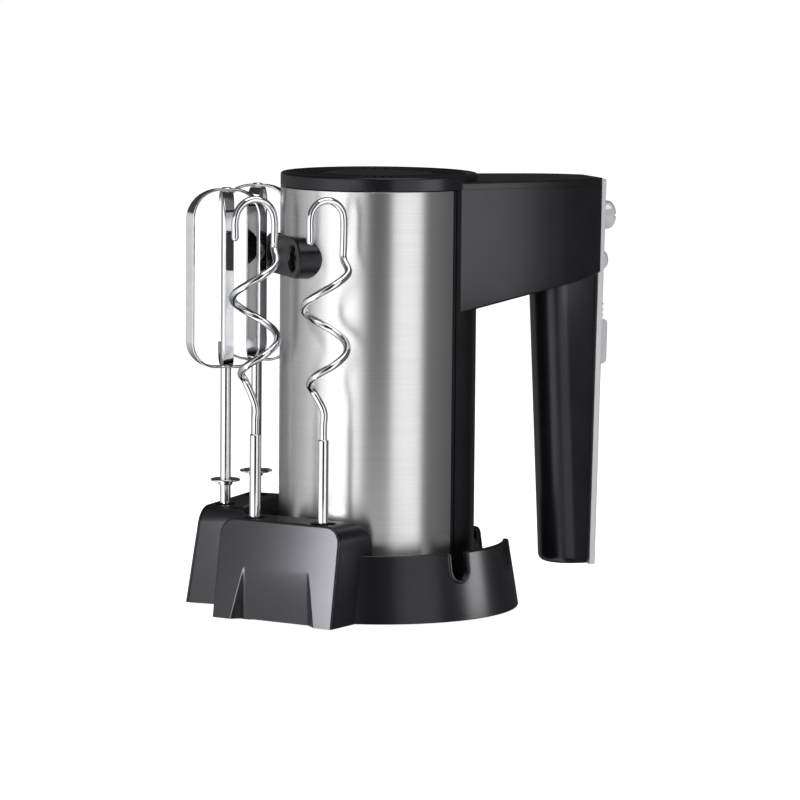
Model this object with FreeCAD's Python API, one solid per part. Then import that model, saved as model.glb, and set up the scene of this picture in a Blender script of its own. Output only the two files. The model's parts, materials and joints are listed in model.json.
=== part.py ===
import FreeCAD, Part
import math
import os

# Hand mixer standing on its heel in a storage base, with two beaters and two dough hooks.
# Millimetres. +Z up, +X from the body to the grip, -X the way the beaters point.
# The origin lies on the body's axis at the height that the base's feet stand on.

V = FreeCAD.Vector
X_DIR = V(1, 0, 0)
Z_DIR = V(0, 0, 1)

# ---------------------------------------------------------------- driving dimensions
# Mixer body
body_radius = 47.5
sleeve_thickness = 0.7
sleeve_gap = 0.1
housing_wall = 2.3
spine_half_angle = 60.0
heel_z = 3.6
sleeve_bottom_z = 10.0
seam_z = 203.5
cap_top_z = 210.2
cap_dish_depth = 1.2
cap_rim_width = 4.0

# Arm and grip
arm_root_half_width = body_radius * 0.8
arm_root_x = 27.0
arm_mid_half_width = body_radius * 0.6
arm_mid_x = 84.0
arm_end_half_width = 14.0
arm_top_z = 207.0
arm_under_root_z = 144.0
arm_under_end_z = 161.0
grip_bottom_z = 17.5
grip_half_width = 14.0
grip_inner_top_x = 79.0
grip_inner_bottom_x = 85.0
face_bottom_x = 106.4
face_top_x = 109.8
grip_corner = 3.0
grip_bottom_round = 3.5

# Control strip
strip_half_width = 12.5
strip_edge = 3.0
strip_crown = 1.4
strip_top_z = 206.2
strip_bottom_z = 16.8
eject_z = 188.0
eject_radius = 7.0
eject_stand_out = 7.5
eject_travel = 4.0
spring_seat_x = 95.0
turbo_z = 165.8
turbo_radius = 4.6
turbo_stand_out = 4.9
turbo_travel = 1.2
slider_low_z = 114.7
slider_pad_top_z = 137.2
slider_high_z = 146.4
slider_travel = 10.0
slider_half_width = 5.5
slider_stem_half = 1.6
slider_stem_low_z = 121.0
slider_stem_height = 8.0
slider_stand_out = 4.7
ridge_stand_out = 2.6
control_gap = 0.3

# Output nose, gears and spindles
spindle_y = 17.0
spindle_z = 170.6
nose_face_x = -49.0
nose_inner_x = -35.3
nose_radius = 9.6
nose_half_length = 28.8
nose_bore = 6.3
spindle_radius = 5.0
spindle_mouth_x = -46.5
spindle_rear_x = 8.0
socket_radius = 2.7
socket_depth = 30.5
push_channel_radius = 1.7
push_pin_radius = 1.4
wheel_teeth = 30
worm_starts = 2
gear_module = 0.8
wheel_width = 6.0
tooth_clearance = 0.25
running_gap = 0.05

# Motor
shaft_radius = 3.0
shaft_bottom_z = 34.0
shaft_top_z = 185.0
armature_radius = 19.0
air_gap = 0.6
core_bottom_z = 78.0
core_top_z = 122.0
stator_radius = 31.0
fan_radius = 26.0
bearing_radius = 8.0
bearing_height = 6.0

# Storage base
ring_foot_radius = 69.6
ring_rim_radius = 64.2
ring_rim_z = 32.8
base_wall = 2.8
foot_height = 0.8
floor_thickness = 2.5
cup_height = 13.0
cup_gap = 0.6
cup_wall = 2.2
pocket_angle = 39.5
pocket_top_z = 48.1
pocket_foot_reach = 84.0
pocket_top_reach = 76.5
pocket_flat_reach = 58.0
pocket_rear_reach = 48.4
pocket_rear_z = 31.0
pocket_shoulder = 8.0
pocket_width = 67.4
pocket_offset = 5.5
tool_reach = 69.2
tool_spacing = 38.5
recess_width = 38.0
recess_height = 27.0
recess_depth = 4.5
window_half_angle = 18.5
window_sill_z = 8.0
notch_angle = -70.7
notch_width = 9.8
notch_depth = 13.2
notch_lip = 2.0
notch_lip_stand_out = 0.7
cord_hole_radius = 3.6
socket_wall = 1.8
inner_hole_gap = 3.4
outer_hole_gap = 2.3
boss_radius = 3.4
rubber_foot_radius = 6.0

# Screws and their bosses
screw_radius = 1.2
screw_clearance_radius = 1.7
screw_head_radius = 2.7
screw_recess_radius = 3.0
housing_boss_radius = 4.0

# Tools
shank_radius = 2.6
tool_foot_z = 25.0
lug_span = 8.4
lug_thickness = 1.2
whisk_low_z = 114.5
whisk_high_z = 201.5
whisk_half_width = 18.0
blade_width = 5.6
blade_thickness = 1.1
wire_radius = 1.75
hook_radius = 10.85
helix_low_z = 111.0
helix_high_z = 168.0
helix_turns = 1.5
helix_start_angle = 145.0
helix_steps = 12
left_loop_radius = 9.9
left_loop_top_z = 199.6
right_loop_radius = 8.3
right_loop_top_z = 200.6
loop_fall = 19.5
ferrule_top_z = 88.0
collar_z = 59.4
collar_radius = 7.2
collar_thickness = 1.1
left_whisk_turn = -12.0
right_whisk_turn = -26.0
collar_hub_radius = 3.5
collar_hub_height = 2.0


# ---------------------------------------------------------------- helpers
def box(x0, x1, y0, y1, z0, z1):
    return Part.makeBox(x1 - x0, y1 - y0, z1 - z0, V(x0, y0, z0))


def post(radius, z0, z1, x=0.0, y=0.0):
    """An upright cylinder."""
    return Part.makeCylinder(radius, z1 - z0, V(x, y, z0))


def bar(radius, x0, x1, y, z):
    """A cylinder along X."""
    return Part.makeCylinder(radius, x1 - x0, V(x0, y, z), X_DIR)


def tube(outer, inner, z0, z1, x=0.0, y=0.0):
    return post(outer, z0, z1, x, y).cut(post(inner, z0 - 1, z1 + 1, x, y))


def sector(outer, inner, z0, z1, middle, half_angle):
    """A slice of a tube, centred on one plan angle in degrees."""
    wedge = Part.makeCylinder(outer, z1 - z0, V(0, 0, z0), Z_DIR, 2 * half_angle)
    wedge = wedge.cut(post(inner, z0 - 1, z1 + 1))
    wedge.rotate(V(0, 0, 0), Z_DIR, middle - half_angle)
    return wedge


def prism(points, direction):
    """A flat outline swept along a direction."""
    corners = [V(*point) for point in points]
    outline = Part.makePolygon(corners + corners[:1])
    return Part.Face(outline).extrude(direction)


def join(shapes):
    whole = shapes[0].fuse(shapes[1:]) if len(shapes) > 1 else shapes[0]
    return whole.removeSplitter()


def without(shape, cutters):
    return shape.cut(cutters).removeSplitter()


def turned(shape, angle, centre=V(0, 0, 0), axis=Z_DIR):
    copy = shape.copy()
    copy.rotate(centre, axis, angle)
    return copy


def moved(shape, x=0.0, y=0.0, z=0.0):
    copy = shape.copy()
    copy.translate(V(x, y, z))
    return copy


def group(shapes):
    """Separate solids that share one node."""
    return Part.makeCompound(shapes)


def rounded(shape, radius, pick):
    """Fillet the edges that pick chooses by their bounding box."""
    edges = [edge for edge in shape.Edges if pick(edge.BoundBox)]
    return shape.makeFillet(radius, edges)


def save(name, shape):
    solids = shape.Solids
    if not solids:
        raise ValueError(name + " has no solid")
    shape = solids[0] if len(solids) == 1 else Part.makeCompound(solids)
    shape.exportStep("parts/" + name + ".step")
    print(name, len(solids), round(shape.Volume, 1), shape.isValid())


# ---------------------------------------------------------------- sizes that follow
tube_outer = body_radius - sleeve_thickness - sleeve_gap
tube_inner = tube_outer - housing_wall
floor_top_z = foot_height + floor_thickness
face_slope = (face_top_x - face_bottom_x) / (strip_top_z - strip_bottom_z)
wheel_pitch_radius = gear_module * wheel_teeth / 2.0
worm_pitch_radius = spindle_y - wheel_pitch_radius
worm_lead = math.pi * gear_module * worm_starts
worm_tip_radius = worm_pitch_radius + gear_module * 0.9
worm_root_radius = worm_pitch_radius - gear_module * 1.25


def face_x(z):
    """The plane where the control strip lies on the housing."""
    return face_bottom_x + (z - strip_bottom_z) * face_slope


# ---------------------------------------------------------------- storage base
def pocket_block(inset, low_z):
    """The slanted block that holds two tools, pointing along -X before it is turned."""
    side = pocket_side(inset, low_z).extrude(V(0, 2 * pocket_width, 0))
    return moved(side, y=pocket_offset - pocket_width).common(pocket_front(inset, low_z))


def pocket_side(inset, low_z):
    """Side outline: a slanted front, a flat top and a rear that rounds down to the body."""
    slope = (pocket_foot_reach - pocket_top_reach) / pocket_top_z
    top_z = pocket_top_z - inset
    low = V(-(pocket_foot_reach - slope * low_z - inset), 0, low_z)
    top = V(-(pocket_foot_reach - slope * top_z - inset), 0, top_z)
    rear_top = V(-pocket_flat_reach, 0, top_z)
    rear_low = V(-pocket_rear_reach - inset, 0, pocket_rear_z)
    bend = V(rear_low.x - (rear_low.x - rear_top.x) * 0.29, 0, rear_low.z + (top_z - rear_low.z) * 0.71)
    foot = V(rear_low.x, 0, low_z)
    edges = [Part.LineSegment(low, top), Part.LineSegment(top, rear_top),
             Part.Arc(rear_top, bend, rear_low),
             Part.LineSegment(rear_low, foot), Part.LineSegment(foot, low)]
    return Part.Face(Part.Wire([edge.toShape() for edge in edges]))


def pocket_front(inset, low_z):
    """Front outline, upright with rounded shoulders, swept along X."""
    half = pocket_width / 2.0 - inset
    corner = pocket_shoulder - inset
    cut = corner * (1 - math.sqrt(0.5))
    top_z = pocket_top_z - inset
    near, far = pocket_offset - half, pocket_offset + half
    edges = [Part.LineSegment(V(-95, near, low_z), V(-95, near, top_z - corner)),
             Part.Arc(V(-95, near, top_z - corner), V(-95, near + cut, top_z - cut),
                      V(-95, near + corner, top_z)),
             Part.LineSegment(V(-95, near + corner, top_z), V(-95, far - corner, top_z)),
             Part.Arc(V(-95, far - corner, top_z), V(-95, far - cut, top_z - cut),
                      V(-95, far, top_z - corner)),
             Part.LineSegment(V(-95, far, top_z - corner), V(-95, far, low_z)),
             Part.LineSegment(V(-95, far, low_z), V(-95, near, low_z))]
    return Part.Face(Part.Wire([edge.toShape() for edge in edges])).extrude(V(95, 0, 0))


def place_pocket(shape, side):
    """Turn a pocket shape to the near (-1) or far (+1) side."""
    placed = shape if side < 0 else shape.mirror(V(0, 0, 0), V(0, 1, 0))
    return turned(placed, -side * pocket_angle)


def tool_place(side, inner):
    """Plan position of a tool; inner is +1 for the tool further from the -X axis."""
    across = pocket_offset - inner * tool_spacing / 2.0
    point = V(-tool_reach, across if side < 0 else -across, 0)
    angle = math.radians(-side * pocket_angle)
    return (point.x * math.cos(angle) - point.y * math.sin(angle),
            point.x * math.sin(angle) + point.y * math.cos(angle))


def base_cone(shrink, low_z, high_z):
    slope = (ring_foot_radius - ring_rim_radius) / ring_rim_z
    low = ring_foot_radius - slope * low_z - shrink
    high = ring_foot_radius - slope * high_z - shrink
    return Part.makeCone(low, high, high_z - low_z, V(0, 0, low_z))


def thumb_recess(grow):
    """The wedge cut into a pocket's front: nothing at its top, deepest at the foot."""
    slope = (pocket_foot_reach - pocket_top_reach) / pocket_top_z
    half = recess_width / 2.0 + grow
    top_x = -(pocket_foot_reach - slope * recess_height)
    foot_x = -pocket_foot_reach + recess_depth
    side = [(-95, pocket_offset - half, -1), (-95, pocket_offset - half, recess_height + grow),
            (top_x + grow, pocket_offset - half, recess_height + grow),
            (foot_x + grow, pocket_offset - half, -1)]
    return prism(side, V(0, 2 * half, 0))


def notch_cutter(width, depth, reach0, reach1):
    """The U-shaped slot where the cord leaves the ring."""
    low_z = ring_rim_z - depth + width / 2.0
    slot = box(reach0, reach1, -width / 2.0, width / 2.0, low_z, ring_rim_z + 5)
    round_end = bar(width / 2.0, reach0, reach1, 0, low_z)
    return turned(join([slot, round_end]), notch_angle)


def make_base_shell():
    ring = base_cone(0, foot_height, ring_rim_z).cut(base_cone(base_wall, foot_height - 1, ring_rim_z + 1))
    lip = notch_cutter(notch_width + 2 * notch_lip, notch_depth + notch_lip, 55, 80)
    lip = lip.common(base_cone(-notch_lip_stand_out, foot_height,
                               ring_rim_z).cut(base_cone(base_wall, 0, ring_rim_z + 1)))
    window = sector(90, 40, window_sill_z, ring_rim_z + 5, 0, window_half_angle)
    blocks, hollows, sockets, bores = [], [], [], []
    for side in (-1, 1):
        block = pocket_block(0, foot_height).cut(thumb_recess(0))
        hollow = pocket_block(base_wall, foot_height - 1).cut(thumb_recess(base_wall))
        blocks.append(place_pocket(block, side))
        hollows.append(place_pocket(hollow, side))
        for inner in (-1, 1):
            x, y = tool_place(side, inner)
            hole = tool_hole_radius(inner)
            sockets.append(post(hole + socket_wall, tool_foot_z - 2.4, pocket_top_z - 1, x, y))
            bores.append(post(hole, tool_foot_z - 0.4, pocket_top_z + 5, x, y))
    shell = join([ring] + blocks).cut(hollows)
    inner_ring = base_cone(base_wall, foot_height - 1, ring_rim_z)
    shell = join([shell, ring, lip] + sockets + [boss for boss in base_bosses()])
    trench = inner_ring.cut([place_pocket(pocket_block(0, foot_height), side) for side in (-1, 1)])
    room = post(body_radius + cup_gap + cup_wall + 0.3, 0, pocket_top_z + 5)
    shell = shell.cut([trench.cut(base_bosses()), room] + bores + [window, floor_outline(0.0, floor_top_z)])
    shell = shell.cut([notch_cutter(notch_width, notch_depth, 50, 90)] + boss_holes(screw_radius, 12))
    save("base_shell", shell.removeSplitter())


def tool_hole_radius(inner):
    return shank_radius + (inner_hole_gap if inner > 0 else outer_hole_gap)


def boss_places():
    """The screw bosses: two in the ring beside the window and one in each pocket."""
    places = []
    for angle in (48, -48):
        reach = ring_foot_radius - base_wall - 5.0
        places.append((reach * math.cos(math.radians(angle)), reach * math.sin(math.radians(angle))))
    for side in (-1, 1):
        near, far = tool_place(side, -1), tool_place(side, 1)
        places.append(((near[0] + far[0]) / 2.0, (near[1] + far[1]) / 2.0))
    return places


def base_bosses():
    return [post(boss_radius, floor_top_z, floor_top_z + 10, x, y) for x, y in boss_places()]


def boss_holes(radius, height):
    return [post(radius, -1, height, x, y) for x, y in boss_places()]


def floor_outline(gap, top_z):
    """The plate that closes the base, gap smaller all round."""
    disc = post(ring_foot_radius - base_wall - 0.3 - gap, foot_height, top_z)
    plates = [disc]
    for side in (-1, 1):
        plate = pocket_block(base_wall + gap, foot_height).cut(thumb_recess(base_wall + gap))
        plates.append(place_pocket(plate.common(box(-90, -30, -60, 60, foot_height, top_z)), side))
    return join(plates)


def make_base_floor():
    plate = floor_outline(0.2, floor_top_z)
    inner = body_radius + cup_gap
    cup = tube(inner + cup_wall, inner, floor_top_z - 1, floor_top_z + cup_height)
    plate = join([plate, cup])
    screws = boss_holes(screw_clearance_radius, floor_top_z + 1)
    heads = [post(screw_recess_radius, -1, foot_height + 1.2, x, y) for x, y in boss_places()]
    save("base_floor", without(plate, screws + heads))


def make_base_screws():
    screws = []
    for x, y in boss_places():
        head = post(screw_head_radius, foot_height + 0.15, foot_height + 1.2, x, y)
        stem = post(screw_radius, foot_height + 1.2, foot_height + 9, x, y)
        screws.append(join([head, stem]).cut(box(x - 2, x + 2, y - 0.3, y + 0.3, 0, foot_height + 0.6)))
    save("base_screws", group(screws))


def make_rubber_feet():
    places = [(0, 0), (38, 38), (38, -38)]
    for side in (-1, 1):
        x, y = tool_place(side, -1)
        places.append((x * 1.02, y * 1.02))
        x, y = tool_place(side, 1)
        places.append((x, y))
    save("rubber_feet", group([post(rubber_foot_radius, 0, foot_height, x, y) for x, y in places]))


# ---------------------------------------------------------------- mixer housing
def arm_outline(inset):
    """Plan outline of the arm: straight sides that curve in to the control strip."""
    end_x = face_top_x + 6.0
    sides = []
    for sign in (1, -1):
        root = V(arm_root_x - 12, sign * (arm_root_half_width + 2.0 - inset), 0)
        middle = V(arm_mid_x, sign * (arm_mid_half_width - inset), 0)
        bulge = V((arm_mid_x + face_top_x) / 2.0 + 2, sign * (arm_mid_half_width - 5.3 - inset), 0)
        end = V(face_top_x, sign * (arm_end_half_width - inset), 0)
        sides.append((root, middle, bulge, end, V(end_x, end.y, 0)))
    edges = []
    for root, middle, bulge, end, out in sides:
        edges += [Part.LineSegment(root, middle), Part.Arc(middle, bulge, end), Part.LineSegment(end, out)]
    edges += [Part.LineSegment(sides[0][0], sides[1][0]), Part.LineSegment(sides[0][4], sides[1][4])]
    wires = Part.sortEdges([edge.toShape() for edge in edges])
    return Part.Face(Part.Wire(wires[0]))


def behind_face(shape, inset):
    """Trim everything beyond the plane where the control strip lies."""
    low, high = -20.0, 260.0
    cutter = prism([(face_x(low) - inset, -80, low), (face_x(high) - inset, -80, high),
                    (200, -80, high), (200, -80, low)], V(0, 160, 0))
    return shape.cut(cutter)


def arm_solid(inset, top_z):
    """The arm, with its sloping underside, behind the strip's plane."""
    slab = moved(arm_outline(inset),
                 z=arm_under_root_z - 20).extrude(V(0, 0, top_z - arm_under_root_z + 20))
    rise = (arm_under_end_z - arm_under_root_z) / (face_top_x - arm_root_x)
    low_x, high_x = -10.0, 140.0
    under = prism([(low_x, -80, arm_under_root_z + inset + rise * (low_x - arm_root_x)),
                   (high_x, -80, arm_under_root_z + inset + rise * (high_x - arm_root_x)),
                   (high_x, -80, 90), (low_x, -80, 90)], V(0, 160, 0))
    return behind_face(slab.cut(under), inset)


def grip_section(z, inset):
    """A D-shaped section: flat towards the strip, round towards the body."""
    share = (z - grip_bottom_z) / (arm_under_root_z - grip_bottom_z)
    inner_x = grip_inner_bottom_x + (grip_inner_top_x - grip_inner_bottom_x) * share + inset
    outer_x = face_x(z) - inset
    half = grip_half_width - inset
    corner = grip_corner - inset * 0.5
    flat_x = inner_x + half
    cut = corner * (1 - math.sqrt(0.5))
    edges = [Part.Arc(V(flat_x, half, z), V(inner_x, 0, z), V(flat_x, -half, z)),
             Part.LineSegment(V(flat_x, -half, z), V(outer_x - corner, -half, z)),
             Part.Arc(V(outer_x - corner, -half, z), V(outer_x - cut, -half + cut, z),
                      V(outer_x, -half + corner, z)),
             Part.LineSegment(V(outer_x, -half + corner, z), V(outer_x, half - corner, z)),
             Part.Arc(V(outer_x, half - corner, z), V(outer_x - cut, half - cut, z),
                      V(outer_x - corner, half, z)),
             Part.LineSegment(V(outer_x - corner, half, z), V(flat_x, half, z))]
    return Part.Wire([edge.toShape() for edge in edges])


def grip_solid(inset, low_z, high_z):
    return Part.makeLoft([grip_section(low_z, inset), grip_section(high_z, inset)], True, True)


def nose_outline(grow, x0, x1):
    """The obround of the output nose, swept along X."""
    across = nose_half_length - nose_radius
    ends = [bar(nose_radius + grow, x0, x1, side * across, spindle_z) for side in (-1, 1)]
    middle = box(x0, x1, -across, across, spindle_z - nose_radius - grow, spindle_z + nose_radius + grow)
    return join(ends + [middle])


def control_holes(grow):
    """Openings for the three controls through the grip's outer wall and the strip."""
    x0 = face_x(spindle_z) - housing_wall - 3.0
    slot_low = slider_stem_low_z - grow
    slot_high = slider_stem_low_z + slider_stem_height + slider_travel + grow
    return [bar(eject_radius + grow, x0, x0 + 20, 0, eject_z),
            bar(turbo_radius + grow, x0, x0 + 20, 0, turbo_z),
            box(x0 - 3, x0 + 20, -slider_stem_half - grow, slider_stem_half + grow, slot_low, slot_high)]


def housing_whole():
    """Body tube, spine, arm and grip, hollow, before the split into two halves."""
    tube_part = post(tube_outer, sleeve_bottom_z, seam_z)
    spine = sector(body_radius - 0.05, tube_outer - 1, sleeve_bottom_z, seam_z, 0, spine_half_angle - 0.4)
    arm = arm_solid(0, seam_z).cut(post(tube_outer - 0.5, 0, 260))
    grip = grip_solid(0, grip_bottom_z, arm_under_end_z + 6)
    grip = rounded(grip, grip_bottom_round,
                   lambda b: b.ZMax < grip_bottom_z + 0.1 and b.XMax < face_x(40) - 4)
    outer = join([tube_part, spine, arm, grip])
    seat = box(spring_seat_x - 2.0, spring_seat_x, -60, 60, eject_z - 9, seam_z).common(arm)
    seat = seat.cut(bar(3.1, 80, 110, 0, eject_z))
    arm_hollow = arm_solid(housing_wall, seam_z + 5)
    grip_hollow = grip_solid(housing_wall, grip_bottom_z + housing_wall + 1.5, arm_under_end_z + 8)
    body_hollow = post(tube_inner, sleeve_bottom_z - 1, seam_z + 5)
    nose_hole = nose_outline(0.05, -60, -20)
    gland = bar(cord_hole_radius + 1.6, 35, 60, 0, sleeve_bottom_z + 14)
    shell = outer.cut([arm_hollow, grip_hollow, body_hollow, nose_hole, gland] + control_holes(control_gap))
    return join([shell, seat])


def make_housing():
    whole = housing_whole()
    bosses = [post(housing_boss_radius, z, z + 9, x, y) for x, y, z in cover_screw_places()]
    whole = join([whole] + [boss.common(post(tube_inner + 0.5, 0, 300)) if abs(x) < tube_inner else boss
                            for boss, (x, y, z) in zip(bosses, cover_screw_places())])
    whole = without(whole, [post(screw_radius, z - 1, z + 10, x, y) for x, y, z in cover_screw_places()])
    save("left_housing", whole.common(box(-100, 200, -100, 0, 0, 300)))
    save("right_housing", whole.common(box(-100, 200, 0, 100, 0, 300)))


def cover_screw_places():
    """Screws that hold the front cover: four in the body and two out in the arm."""
    z = seam_z - 9.0
    reach = tube_inner - 3.6
    places = [(reach * math.cos(math.radians(a)), reach * math.sin(math.radians(a)), z)
              for a in (75, 130, 230, 285)]
    boss_y = arm_mid_half_width - housing_wall - 2.4
    return places + [(arm_mid_x - 6, boss_y, z), (arm_mid_x - 6, -boss_y, z)]


def make_front_cover():
    disc = post(body_radius, seam_z, cap_top_z)
    disc = rounded(disc, 1.2, lambda b: b.ZMin > cap_top_z - 0.1)
    disc = disc.cut(post(body_radius - cap_rim_width, cap_top_z - cap_dish_depth, cap_top_z + 5))
    lid = rounded(arm_solid(0, arm_top_z), 1.0, lambda b: b.ZMin > arm_top_z - 0.1 and b.XLength > 5)
    lid = lid.cut(box(-100, 200, -100, 100, 0, seam_z)).cut(post(body_radius - 1, 0, 260))
    cover = join([disc, lid])
    cover = cover.cut(post(body_radius - 3.5, seam_z - 1, cap_top_z - cap_dish_depth - 2.4))
    save("front_cover", cover)


def make_front_inlay():
    """The ribbed disc that lies in the dish of the front cover."""
    low = cap_top_z - cap_dish_depth
    outer = body_radius - cap_rim_width - 0.3
    disc = post(outer, low, low + 0.9)
    slot = box(outer - 9.0, outer - 1.8, -0.9, 0.9, low + 0.4, low + 2)
    save("front_inlay", disc.cut([turned(slot, angle) for angle in range(0, 360, 8)]))


def make_sleeve():
    sleeve = sector(body_radius, body_radius - sleeve_thickness, sleeve_bottom_z, seam_z - 0.2,
                    180, 180 - spine_half_angle)
    save("steel_sleeve", without(sleeve, [nose_outline(0.1, -60, -20)]))


def make_heel_cover():
    cup = post(body_radius - 0.1, heel_z, sleeve_bottom_z)
    cup = rounded(cup, 2.0, lambda b: b.ZMax < heel_z + 0.1)
    plug = tube(tube_inner - 0.1, tube_inner - 2.2, sleeve_bottom_z - 1, sleeve_bottom_z + 5)
    cover = join([cup, plug]).cut(post(tube_inner - 2.2, heel_z + 2.4, 40))
    vents = [turned(box(-2, 2, 12, 32, 0, 20), angle) for angle in range(0, 360, 30)]
    screws = [post(1.7, 0, 20, x, y) for x, y in heel_screw_places()]
    save("heel_cover", without(cover, vents + screws))


def heel_screw_places():
    reach = tube_inner - 6.4
    return [(reach * math.cos(math.radians(a)), reach * math.sin(math.radians(a)))
            for a in (45, 135, 225, 315)]


def make_heel_screws():
    screws = []
    for x, y in heel_screw_places():
        head = post(2.8, heel_z + 2.4, heel_z + 4.2, x, y)
        stem = post(1.6, heel_z + 0.4, heel_z + 2.4, x, y)
        screws.append(join([head, stem]))
    save("heel_screws", group(screws))


def make_cover_screws():
    screws = []
    for x, y, z in cover_screw_places():
        screws.append(post(1.2, z + 1, seam_z, x, y))
    save("cover_screws", group(screws))


def make_cord_inlet():
    z = sleeve_bottom_z + 14
    outside = bar(cord_hole_radius + 2.6, body_radius, body_radius + 3.5, 0, z)
    neck = bar(cord_hole_radius + 1.5, tube_inner - 2, body_radius + 1, 0, z)
    bush = join([outside, neck]).cut(post(body_radius - 0.05, 0, 60).cut(neck))
    save("cord_inlet", bush.cut(bar(cord_hole_radius, 30, 70, 0, z)))


def make_nose():
    nose = nose_outline(0, nose_face_x, nose_inner_x)
    nose = rounded(nose, 1.2, lambda b: b.XMax < nose_face_x + 0.1)
    bores = [bar(nose_bore, nose_face_x - 1, nose_inner_x + 1, side * spindle_y, spindle_z)
             for side in (-1, 1)]
    save("output_nose", nose.cut(bores))


# ---------------------------------------------------------------- control strip
def crown_outline(z, half, low, edge, crown):
    """Section of a strip: flat behind, edge high at its sides and crowned in the middle."""
    x = face_x(z)
    edges = [Part.LineSegment(V(x + low, -half, z), V(x + edge, -half, z)),
             Part.Arc(V(x + edge, -half, z), V(x + edge + crown, 0, z), V(x + edge, half, z)),
             Part.LineSegment(V(x + edge, half, z), V(x + low, half, z)),
             Part.LineSegment(V(x + low, half, z), V(x + low, -half, z))]
    return Part.Face(Part.Wire([edge.toShape() for edge in edges]))


def strip_solid(half, low, edge, crown, low_z, high_z):
    """A crowned bar that leans with the grip's outer face."""
    height = high_z - low_z
    return crown_outline(low_z, half, low, edge, crown).extrude(V(face_slope * height, 0, height))


def make_control_strip():
    strip = strip_solid(strip_half_width, 0, strip_edge, strip_crown, strip_bottom_z, strip_top_z)
    strip = rounded(strip, 0.9,
                    lambda b: b.XMax - b.XMin < 5 and b.ZMin > strip_top_z - 0.1 and b.YLength > 20
                    and b.XMin > face_x(strip_top_z) + 1)
    save("control_strip", without(strip, control_holes(control_gap)))


def surface_x(z):
    """The strip's highest line."""
    return face_x(z) + strip_edge + strip_crown


# ---------------------------------------------------------------- controls
def make_eject():
    """The eject button, and the push rod that drives the tools out of their sockets."""
    back_x = face_x(eject_z) - 2.0
    tip_x = surface_x(eject_z) + eject_stand_out
    head = bar(eject_radius, back_x, tip_x, 0, eject_z)
    head = rounded(head, 3.2, lambda b: b.XMin > tip_x - 0.1)
    groove = box(tip_x - 1.0, tip_x + 2, -20, 20, eject_z - 0.5, eject_z + 0.5)
    save("eject_button", head.cut(groove))
    cross_x = spindle_rear_x + eject_travel + 2.0
    rod = box(cross_x, back_x, -2, 2, eject_z - 2, eject_z + 2)
    plate = box(cross_x, cross_x + 2.5, -spindle_y - 3, spindle_y + 3, spindle_z - 3, eject_z + 2)
    pin_tip = spindle_mouth_x + socket_depth + 0.2
    pins = [bar(push_pin_radius, pin_tip, cross_x + 1, side * spindle_y, spindle_z) for side in (-1, 1)]
    save("eject_rod", join([rod, plate] + pins))
    coils, steps, wire = 5, 8, 0.35
    low_x, high_x = spring_seat_x + wire + 0.05, back_x - wire - 0.05
    route = []
    for i in range(coils * steps + 1):
        angle = 2 * math.pi * i / steps
        route.append(V(low_x + (high_x - low_x) * i / (coils * steps),
                       3.7 * math.cos(angle), eject_z + 3.7 * math.sin(angle)))
    path = rounded_path(route, 0.45)
    first = path.Edges[0].tangentAt(path.Edges[0].FirstParameter)
    circle = Part.Wire([Part.Circle(route[0], first, wire).toShape()])
    save("eject_spring", path.makePipeShell([circle], True, False))


def make_turbo():
    back_x = face_x(turbo_z) - 1.5
    tip_x = surface_x(turbo_z) + turbo_stand_out
    button = bar(turbo_radius, back_x, tip_x, 0, turbo_z)
    button = rounded(button, 2.4, lambda b: b.XMin > tip_x - 0.1)
    save("turbo_button", button)
    switch_x = back_x - turbo_travel - control_gap
    save("turbo_switch", box(switch_x - 8, switch_x, -5, 5, turbo_z - 6, turbo_z + 6))


def make_speed_slider():
    lift = strip_edge + 0.35
    pad = strip_solid(slider_half_width, lift, strip_edge + slider_stand_out, strip_crown,
                      slider_low_z, slider_pad_top_z)
    ramp = strip_solid(slider_half_width - 0.6, lift, strip_edge + 0.9, strip_crown,
                       slider_pad_top_z - 1, slider_high_z)
    crown = strip_solid(strip_half_width, -1, strip_edge + 0.3, strip_crown, slider_low_z - 5,
                        slider_high_z + 5)
    pad = rounded(pad, 1.6, lambda b: b.XMin > face_x(slider_low_z) + lift + 2 and b.YLength > 5)
    ridges = [strip_solid(slider_half_width - 1.0, lift, strip_edge + ridge_stand_out, strip_crown, z,
                          z + 1.2)
              for z in (138.4, 141.1, 143.8)]
    knob = join([pad, ramp] + ridges).cut(crown)
    low_x = face_x(slider_stem_low_z) - housing_wall - 3.0
    stem = box(low_x, surface_x(slider_stem_low_z) + 1.5, -slider_stem_half, slider_stem_half,
               slider_stem_low_z, slider_stem_low_z + slider_stem_height)
    shoe = box(low_x - 2.0, low_x, -4.5, 4.5, slider_stem_low_z - 1,
               slider_stem_low_z + slider_stem_height + 1)
    save("speed_slider", join([knob, stem, shoe]))


def make_electronics():
    shoe_back = face_x(slider_stem_low_z) - housing_wall - 5.0
    board_x = shoe_back - 3.2
    save("control_board", box(board_x - 1.6, board_x, -9, 9, 106, 150))
    parts = [box(board_x, board_x + 1.6, -5, 5, 117, 142), box(board_x - 7.6, board_x - 1.6, -6, 6,
                                                               112, 124),
             box(board_x - 6.6, board_x - 1.6, -4, 4, 130, 140)]
    save("board_components", group(parts))


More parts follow.
